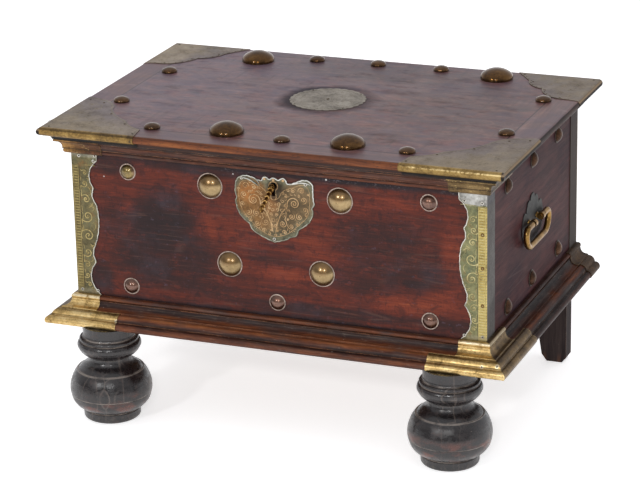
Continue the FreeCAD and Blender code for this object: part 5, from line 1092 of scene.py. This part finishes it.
def strap_work(label, side, rear=False):
    """Chased ladder border, a chain of volutes and a rolled scalloped edge on one corner strap."""
    lift = 0.8

    def place(u, v, w):
        x = side * (HALF - u)
        if rear:
            return (x * MM, (326.0 - SHIFT + lift + w) * MM, v * MM)
        return (x * MM, (-SHIFT - lift - w) * MM, v * MM)

    lines, rim, ring, head, brown = (Metalwork(place) for _ in range(5))
    edge = even(rounded(even(line_of(STRAP_LINE, 12), 1.0), 3), 1.3)
    wavy = [(u - 0.62 + 0.22 * math.sin(v * 0.83 + side) + 0.16 * math.sin(v * 2.1 + 2 * side), v) for u, v in edge]
    rim.ridge(wavy, 1.25, 0.5, taper=False)
    wide = 8.3 if side > 0 else 6.8
    low, high = 139.5, 283.0
    for u in (0.7, wide):
        lines.ridge([(u, low + (high - low) * i / 40) for i in range(41)], 0.6, 0.2, taper=False)
    count = int((high - low) / RUNGS)
    pins = [252.3, 216.1, 175.1] if side > 0 else []
    for i in range(count):
        v = low + 2.0 + i * RUNGS
        if any(abs(v - z) < 2.4 for z in pins):
            continue
        lines.ridge([(1.6, v), (wide * 0.4, v + 0.1), (wide * 0.7, v + 0.1), (wide - 1.0, v)], 1.5, 0.26, flat=True)
    for k, (u, z, r, way) in enumerate(VOLUTES[side]):
        start = 150.0 * -way
        line = curl((u, z), r, r * 0.2, start, 1.45 * way)
        stem = [(wide + 1.6, z - way * r * 1.12), (wide + 2.6, z - way * r * 1.02)]
        lines.ridge(tailed(stem, line), 1.35 if r > 5 else 1.1, 0.42)
        lines.dot(u, z, 0.9 if r > 5 else 0.7, 0.5)
        if r > 7:
            lines.ridge(leaf((u + r * 0.2, z + way * r * 1.06), (u + r * 1.05, z + way * r * 1.0), 0.3 * way), 0.9, 0.3)
            lines.ridge(leaf((wide + 1.8, z + way * r * 0.55), (wide + 1.8, z - way * r * 0.55), 0.16), 0.6, 0.22)
        else:
            lines.ridge(leaf((u + r * 0.4, z + way * r * 1.1), (u + r * 1.2, z + way * r * 0.5), 0.3 * way), 0.75, 0.26)
    chain = VOLUTES[side]
    for (u0, z0, r0, w0), (u1, z1, r1, w1) in zip(chain, chain[1:]):
        a_, b_ = (u0 + r0 * 0.72, z0 - r0 * 0.72), (u1 + r1 * 0.72, z1 + r1 * 0.72)
        bow = 1.2 + 0.10 * (r0 + r1)
        mid_ = ((a_[0] + b_[0]) / 2 + bow, (a_[1] + b_[1]) / 2)
        if math.hypot(a_[0] - b_[0], a_[1] - b_[1]) > 1.6:
            lines.ridge(line_of([a_, ("arc", mid_, b_)], 8), 0.7, 0.26)
        lines.ridge(leaf((wide + 1.5, z0 - r0 * 1.15), (wide + 2.0, z1 + r1 * 0.5), 0.12), 0.6, 0.22)
        for k in range(5):
            a0 = math.radians(-60.0 + 30.0 * k)
            for cu, cz, r in ((u0, z0, r0),):
                p0 = (cu + (r + 0.9) * math.cos(a0), cz + (r + 0.9) * math.sin(a0))
                p1 = (cu + (r + 2.1) * math.cos(a0 + 0.25), cz + (r + 2.1) * math.sin(a0 + 0.25))
                limit = min((u for u, v in edge if abs(v - p1[1]) < 2.0), default=22.0) - 1.8
                if p1[0] < limit:
                    lines.ridge([p0, p1], 0.6, 0.22)
    lines.ridge([(10.4, 283.4), (20.0, 283.6), (27.4, 283.4)], 0.7, 0.3, taper=False)
    if side > 0:
        places = [(4.1, 286.3), (23.2, 287.4), (3.6, 140.8), (23.4, 140.6)]
    else:
        places = [(8.4, 293.2), (27.2, 294.6), (25.2, 288.6), (4.9, 140.2), (23.4, 140.6)]
    for u, v in places:
        ringed_pin(ring, head, u, v, 1.8)
    for z in pins:
        ringed_pin(brown, lines, 3.7, z, 2.0)
    tag = ("rear_" if rear else "front_") + label
    lines.build(tag + "_strap_chasing", STRAP_LINES, "carcass", "brass_engraved")
    rim.build(tag + "_strap_rolled_edge", PALE, "carcass", "brass_engraved")
    ring.build(tag + "_strap_pin_rings", PALE, "carcass", "brass_engraved")
    head.build(tag + "_strap_pins", PINS, "carcass", "brass_engraved")
    if pins:
        brown.build(tag + "_strap_brown_rings", RINGS, "carcass", "brass_engraved")


ESC = [(-43.4, 281.0), (-44.4, 272.0), (-42.4, 265.0), (-44.2, 262.0), (-42.4, 253.0), (-39.4, 246.6), (-34.0, 240.8),
       (-28.0, 236.6), (-26.6, 231.4), (-22.6, 228.6), (-18.0, 226.0), (-11.0, 222.6), (-4.0, 220.2), (0.0, 219.0),
       (6.0, 220.6), (14.0, 223.2), (18.4, 226.4), (23.4, 227.4), (26.4, 230.6), (27.6, 235.4), (34.6, 240.0),
       (40.6, 245.4), (44.0, 252.6), (44.6, 257.6), (43.4, 261.4), (46.4, 264.6), (45.4, 271.0), (45.0, 279.0),
       (45.2, 286.0), (42.8, 289.8), (37.6, 292.2), (31.2, 291.4), (25.6, 288.6), (18.8, 285.8), (15.6, 286.2),
       (14.8, 289.6), (11.2, 291.8), (7.6, 290.6), (5.6, 288.4), (3.4, 290.4), (0.0, 291.2), (-3.0, 290.0), (-4.8, 288.4),
       (-7.0, 290.9), (-9.8, 291.8), (-12.6, 289.6), (-13.6, 286.6), (-18.0, 287.6), (-24.0, 290.0), (-29.0, 291.0),
       (-34.4, 290.6), (-39.6, 288.2), (-42.2, 285.0)]
FIELD = [(-39.0, 279.0), (-39.8, 270.0), (-38.4, 258.0), (-34.6, 249.6), (-28.6, 243.2), (-22.4, 236.6), (-15.0, 230.8), (-6.4, 226.8),
         (0.6, 225.6), (8.6, 227.2), (16.4, 231.0), (23.2, 237.0), (30.4, 243.4), (37.0, 250.0), (39.8, 258.0), (40.8, 269.0),
         (40.4, 280.0), (37.0, 285.6), (30.6, 285.8), (22.4, 282.0), (15.0, 279.6), (9.0, 275.6), (6.0, 268.6), (0.0, 265.6),
         (-6.0, 268.6), (-9.0, 275.6), (-14.6, 280.2), (-21.4, 284.0), (-29.4, 285.6), (-35.6, 284.2)]


def escutcheon_work():
    lift = 0.7
    lines, rim, ring, head = (Metalwork(lambda u, v, w: on_front(u, v, w + lift)) for _ in range(4))
    outline = rounded(even(ESC, 1.2, closed=True), 1, closed=True)
    rim.ridge([(u + 0.22 * math.sin(v * 1.3 + u * 0.7), v + 0.22 * math.cos(u * 1.1 + v * 0.5)) for u, v in inset(outline, 0.75)], 1.45, 0.6, closed=True, taper=False)
    field = rounded(even(FIELD, 1.4, closed=True), 3, closed=True)
    lines.ridge(field, 0.6, 0.25, closed=True, taper=False)
    for s_ in (-1, 1):
        def q(u, v):
            return (s_ * u, v)

        def spiral(c, big, small, start, turns, stem=(), width=1.0):
            line = curl(c, big, small, start, turns)
            if stem:
                line = tailed(stem, line)
            lines.ridge([(s_ * u, v) for u, v in line], width, 0.36)
            lines.dot(s_ * line[-1][0] * 0.5 + s_ * c[0] * 0.5, line[-1][1] * 0.5 + c[1] * 0.5, 0.85, 0.5)

        spiral((23.0, 264.4), 8.4, 1.6, 205.0, -2.0, [(1.4, 230.0), (3.4, 240.0), (8.0, 252.0)], 1.15)
        spiral((9.6, 241.0), 5.4, 1.2, 62.0, -1.6, [(13.6, 256.0), (13.9, 250.0)], 1.05)
        for (cu, cv), r, start, turns in (((33.8, 269.4), 4.4, 250.0, 1.5), ((31.8, 279.4), 4.4, 200.0, -1.5), ((22.2, 278.4), 3.4, 20.0, 1.4),
                                          ((35.4, 258.6), 3.8, 270.0, 1.4), ((28.8, 250.2), 4.4, 110.0, 1.4), ((19.8, 250.0), 4.2, 60.0, -1.5),
                                          ((13.0, 260.6), 3.2, 230.0, 1.3), ((19.0, 239.0), 4.2, 140.0, 1.45), ((26.4, 242.0), 2.7, 20.0, -1.3),
                                          ((11.8, 231.6), 3.2, 200.0, -1.3), ((3.8, 233.0), 2.3, 90.0, 1.2), ((3.6, 250.6), 2.6, 270.0, -1.2),
                                          ((13.6, 271.6), 2.6, 120.0, -1.2), ((39.0, 275.6), 1.9, 300.0, 1.2), ((15.6, 246.0), 1.8, 0.0, 1.1)):
            spiral((cu, cv), r, r * 0.26, start, turns, (), 0.95 if r > 3 else 0.8)
        for (cu, cv), r, first, count, lean in (((23.0, 264.4), 9.4, 20.0, 9, 0.42), ((9.6, 241.0), 6.2, 150.0, 6, -0.5), ((28.8, 250.2), 5.2, 200.0, 5, 0.5),
                                                ((19.0, 239.0), 5.0, 210.0, 5, 0.5)):
            for k in range(count):
                t0 = math.radians(first + k * 26.0)
                a_ = (cu + r * math.cos(t0), cv + r * math.sin(t0))
                b_ = (cu + (r + 2.1) * math.cos(t0 + lean * 0.6), cv + (r + 2.1) * math.sin(t0 + lean * 0.6))
                lines.ridge(leaf(q(*a_), q(*b_), 0.25 * s_), 0.7, 0.26)
        lines.ridge(leaf(q(4.4, 256.0), q(5.8, 264.4), -0.14 * s_), 0.8, 0.3)
        lines.ridge(leaf(q(0.3, 236.0), q(2.4, 246.0), -0.16 * s_), 0.75, 0.3)
    # small curls that fill what the large scrolls leave empty
    taken = [(s_ * u, v, r) for s_ in (-1, 1) for u, v, r in (
        (23.0, 264.4, 8.4), (9.6, 241.0, 5.4), (33.8, 269.4, 4.4), (31.8, 279.4, 4.4), (22.2, 278.4, 3.4), (35.4, 258.6, 3.8),
        (28.8, 250.2, 4.4), (19.8, 250.0, 4.2), (13.0, 260.6, 3.2), (19.0, 239.0, 4.2), (26.4, 242.0, 2.7), (11.8, 231.6, 3.2),
        (3.8, 233.0, 2.3), (3.6, 250.6, 2.6), (13.6, 271.6, 2.6), (39.0, 275.6, 1.9), (15.6, 246.0, 1.8), (0.0, 281.5, 6.0), (0.0, 272.0, 4.0))]
    for row in range(20):
        for col in range(28):
            k = row * 28 + col
            u = -41.0 + col * 3.0 + 0.9 * math.sin(k * 2.3)
            v = 225.0 + row * 3.1 + 0.9 * math.cos(k * 1.7)
            inside = False
            for i in range(len(FIELD)):
                (ax, ay), (bx, by) = FIELD[i - 1], FIELD[i]
                if (ay > v) != (by > v) and u < (bx - ax) * (v - ay) / (by - ay) + ax:
                    inside = not inside
            edge_gap = min(math.hypot(u - ax, v - ay) for ax, ay in even(FIELD, 1.5, closed=True))
            room_ = min([edge_gap + 0.4] + [math.hypot(u - a_, v - b_) - r_ for a_, b_, r_ in taken])
            if not inside or room_ < 1.7:
                continue
            r = min(room_ - 0.1, 2.9)
            way = 1 if k % 2 else -1
            lines.ridge(curl((u, v), r, r * 0.3, 57.0 * k, 1.15 * way), 0.8, 0.32)
            taken.append((u, v, r))
    for u, v in ((-35.9, 287.2), (36.2, 286.6), (-0.4, 222.8)):
        ringed_pin(ring, head, u, v, 1.8)
    for u, v in ((10.9, 288.4), (-10.0, 288.6), (0.0, 288.2)):
        lines.dot(u, v, 1.6, 0.5)
    # a torn, curled lip of metal at the upper left
    rim.ridge(rounded([(-38.0, 287.4), (-33.6, 289.0), (-28.4, 287.4), (-23.6, 285.2), (-19.4, 282.2), (-16.0, 280.2)], 2), 2.1, 1.5)
    rim.ridge(rounded([(18.4, 284.4), (24.6, 286.4), (31.0, 289.2), (37.4, 289.8), (41.6, 286.8)], 2), 1.5, 0.9)
    rim.ridge(rounded([(-20.0, 288.2), (-17.8, 286.4), (-16.2, 283.8), (-15.2, 281.6)], 2), 1.2, 1.1)
    # raised collar round the keyhole and drop-shaped plate over it
    lines.ridge([(4.9 * math.cos(math.radians(a)), 281.5 + 4.9 * math.sin(math.radians(a))) for a in range(-62, 243, 8)], 1.2, 0.45)
    for s_ in (-1, 1):
        lines.ridge(line_of([(s_ * 2.6, 277.3), (s_ * 3.0, 269.6), ("arc", (s_ * 2.2, 267.4), (0.0, 266.4))], 6), 0.9, 0.4)
    lines.build("escutcheon_chasing", ESC_LINES, "carcass", "brass_engraved")
    rim.build("escutcheon_rolled_edge", ESC_RIM, "carcass", "brass_engraved")
    ring.build("escutcheon_pin_rings", PALE, "carcass", "brass_engraved")
    head.build("escutcheon_pins", PINS, "carcass", "brass_engraved")


def lid_work():
    lift = 0.7
    base = 328.0

    def place(u, v, w):
        return (u * MM, (v - SHIFT) * MM, (base + lift + w) * MM)

    for side, label in ((-1, "left"), (1, "right")):
        for front in (True, False):
            lines, pins = Metalwork(place), Metalwork(place)
            if front:
                border = line_of([(150.4, -22.0), (154.4, 0.4), ("arc", (167.6, 7.6), (181.0, 24.4)), ("arc", (198.6, 38.2), (214.8, 62.4)),
                                  ("arc", (225.4, 81.6), (241.6, 90.6)), (254.0, 95.2)], 10)
                marks = [((232.0, 0.0), (214.0, 12.0), 1, "C"), ((196.0, -8.0), (214.0, -6.0), -1, "S"), ((240.0, 20.0), (238.0, 38.0), 1, "S"),
                         ((226.0, 30.0), (208.0, 24.0), 1, "C"), ((186.0, 8.0), (172.0, -4.0), 1, "C"), ((230.0, 58.0), (242.0, 70.0), 1, "C"),
                         ((250.0, 10.0), (250.0, -8.0), 1, "C")]
                spots = [(153.0, -16.0), (176.0, 14.0), (206.0, 44.0), (232.0, 80.0), (252.0, 88.0), (250.0, -18.0)]
            else:
                border = line_of([(166.4, 329.6), ("arc", (175.4, 316.6), (185.4, 302.8)), ("arc", (193.4, 285.6), (208.4, 276.6)),
                                  ("arc", (217.4, 256.6), (233.0, 245.6)), (254.0, 244.4)], 10)
                marks = [((232.0, 318.0), (216.0, 306.0), -1, "C"), ((196.0, 322.0), (212.0, 324.0), 1, "S"), ((240.0, 300.0), (238.0, 282.0), -1, "S"),
                         ((226.0, 292.0), (212.0, 296.0), -1, "C"), ((232.0, 268.0), (244.0, 258.0), -1, "C")]
                spots = [(172.0, 326.0), (190.0, 300.0), (212.0, 272.0), (236.0, 248.0), (252.0, 326.0)]
            lines.ridge([(side * u, v) for u, v in rounded(even(border, 1.6), 2)], 0.8, 0.16, taper=False)
            if not front:
                for u, v in even(border, 8.5)[1:-1]:
                    small_pin(pins, side * (u + 1.2), v + 0.8, 0.8, 0.35)
            for a, b, flip, kind in marks:
                line = scroll((side * a[0], a[1]), (side * b[0], b[1]), side=flip * side, kind=kind, radius=5.2, turns=1.25)
                lines.ridge(line, 0.8, 0.13)
                for e_ in (a, b):
                    lines.dot(side * e_[0], e_[1], 0.8, 0.2)
            for u, v in spots:
                small_pin(pins, side * u, v, 1.2, 0.6)
            tag = "lid_%s_%s" % ("front" if front else "back", label)
            lines.build(tag + "_chasing", LID_LINES, "lid", "brass_lid_plates")
            pins.build(tag + "_pins", LID_PINS, "lid", "brass_lid_plates")

    lines, pins = Metalwork(place), Metalwork(place)
    cx, cy = -3.0, 167.0
    for r, w, h in ((38.0, 0.8, 0.18), (35.6, 0.5, 0.12), (13.4, 0.7, 0.16)):
        lines.ridge([(cx + r * math.cos(2 * math.pi * k / 96), cy + r * math.sin(2 * math.pi * k / 96)) for k in range(96)], w, h, closed=True, taper=False)
    for k in range(8):
        a = 2 * math.pi * k / 8
        ca, sa = math.cos(a), math.sin(a)

        def t(r, off):
            return (cx + r * ca - off * sa, cy + r * sa + off * ca)

        for f in (-1, 1):
            lines.ridge(scroll(t(18.6, 3.2 * f), t(29.6, 5.2 * f), side=-f, radius=3.2, turns=1.2, bulge=0.6), 0.8, 0.15)
        lines.ridge(leaf(t(14.5, 0), t(33.5, 0), 0.0001), 0.7, 0.13)
        lines.ridge(leaf(t(3.0, 0), t(12.4, 0.0), 0.2), 0.8, 0.14)
        lines.ridge(leaf(t(3.0, 0), t(12.4, 0.0), -0.2), 0.8, 0.14)
    for k in range(56):
        a = 2 * math.pi * (k + 0.5) / 56
        lines.dot(cx + 36.9 * math.cos(a), cy + 36.9 * math.sin(a), 0.5, 0.3)
    small_pin(pins, cx, cy, 1.8, 0.9)
    for k in range(4):
        a = 2 * math.pi * (k + 0.5) / 4
        small_pin(pins, cx + 40.0 * math.cos(a), cy + 40.0 * math.sin(a), 0.9, 0.5)
    lines.build("medallion_chasing", MEDAL_LINES, "lid", "brass_lid_plates")
    pins.build("medallion_pins", LID_PINS, "lid", "brass_lid_plates")


for side_, label_ in ((-1, "left"), (1, "right")):
    strap_work(label_, side_)
    strap_work(label_, side_, rear=True)
escutcheon_work()
lid_work()

# ------------------------------------------------------------------ floor, light and camera
world = bpy.data.worlds.new("studio")
bpy.context.scene.world = world
world.use_nodes = True
wn = world.node_tree
wn.nodes.clear()
wout = wn.nodes.new("ShaderNodeOutputWorld")
wbg = wn.nodes.new("ShaderNodeBackground")
wtc = wn.nodes.new("ShaderNodeTexCoord")
wsep = wn.nodes.new("ShaderNodeSeparateXYZ")
wn.links.new(wtc.outputs["Generated"], wsep.inputs[0])


def sky(stops):
    """Brightness against height above the horizon."""
    n = wn.nodes.new("ShaderNodeValToRGB")
    e = n.color_ramp.elements
    while len(e) < len(stops):
        e.new(0.5)
    for i, (pos, level) in enumerate(stops):
        e[i].position, e[i].color = pos, (level, level, level * 1.03, 1)
    wn.links.new(wsep.outputs["Z"], n.inputs[0])
    return n.outputs[0]


# pale paper behind the chest, dimmer room behind the viewer, soft white overhead
paper = sky([(0.0, 0.90), (0.34, 0.88), (0.58, 0.66), (1.0, 0.80)])
room = sky([(0.0, 0.22), (0.16, 0.27), (0.46, 0.50), (1.0, 0.80)])
wmap = wn.nodes.new("ShaderNodeMapRange")
wmap.interpolation_type = "SMOOTHSTEP"
for i_, v_ in enumerate((0.5, -0.70, 0.40, 0.0, 1.0)):
    wmap.inputs[i_].default_value = v_
wn.links.new(wsep.outputs["Y"], wmap.inputs[0])
wmix = wn.nodes.new("ShaderNodeMix")
wmix.data_type = "RGBA"
wn.links.new(wmap.outputs[0], wmix.inputs[0])
wn.links.new(room, wmix.inputs[6])
wn.links.new(paper, wmix.inputs[7])
wn.links.new(wmix.outputs[2], wbg.inputs["Color"])
wbg.inputs["Strength"].default_value = 1.0
wn.links.new(wbg.outputs[0], wout.inputs["Surface"])


def floor():
    mesh = bpy.data.meshes.new("floor")
    n, size = 24, 9.0
    verts, faces = [], []
    for j in range(n + 1):
        for i in range(n + 1):
            verts.append((-size + 2 * size * i / n, -size + 2 * size * j / n, 0.0))
    for j in range(n):
        for i in range(n):
            a = j * (n + 1) + i
            faces.append((a, a + 1, a + n + 2, a + n + 1))
    mesh.from_pydata(verts, [], faces)
    o = bpy.data.objects.new("floor", mesh)
    bpy.context.scene.collection.objects.link(o)
    s = Shade("pale_floor")
    tint = s.noise(s.scaled(s.p, (0.004,) * 3), detail=3.0)
    s.finish(s.mixc(tint, rgb(250, 250, 250), rgb(254, 254, 254)), 0.75, Specular_IOR_Level=0.15,
             Emission_Color=(1, 1, 1, 1), Emission_Strength=0.60)
    mesh.materials.append(s.mat)


floor()


def lamp(name, place, target, size, power, colour=(1, 1, 1), size_y=None):
    data = bpy.data.lights.new(name, "AREA")
    data.shape = "RECTANGLE" if size_y else "SQUARE"
    data.size = size
    if size_y:
        data.size_y = size_y
    data.energy = power
    data.color = colour
    o = bpy.data.objects.new(name, data)
    bpy.context.scene.collection.objects.link(o)
    o.location = place
    o.rotation_mode = "QUATERNION"
    o.rotation_quaternion = (Vector(target) - Vector(place)).to_track_quat("-Z", "Y")
    return o


lamp("key_left", (-0.78, -2.72, 1.48), (0, 0, 0.2), 0.22, 13)
lamp("key_right", (0.80, -2.72, 1.48), (0, 0, 0.2), 0.22, 13)

cam = bpy.data.cameras.new("camera")
cam.sensor_fit = "HORIZONTAL"
cam.sensor_width = 36.0
cam.lens = 152.333
cam.clip_start, cam.clip_end = 0.1, 100.0
camera = bpy.data.objects.new("camera", cam)
bpy.context.scene.collection.objects.link(camera)
yaw, pitch, roll = math.radians(21.7998), math.radians(-19.6093), math.radians(-1.2023)
fwd = Vector((-math.sin(yaw) * math.cos(pitch), math.cos(yaw) * math.cos(pitch), math.sin(pitch)))
right = Vector((math.cos(yaw), math.sin(yaw), 0.0))
up = right.cross(fwd)
r2 = right * math.cos(roll) + up * math.sin(roll)
u2 = up * math.cos(roll) - right * math.sin(roll)
m = Matrix((r2, u2, -fwd)).transposed().to_4x4()
m.translation = Vector((1.0415173, -2.6182161, 1.1655557))
camera.matrix_world = m
bpy.context.scene.camera = camera
view = bpy.context.scene.view_settings
view.view_transform = "Standard"
view.look = "None"
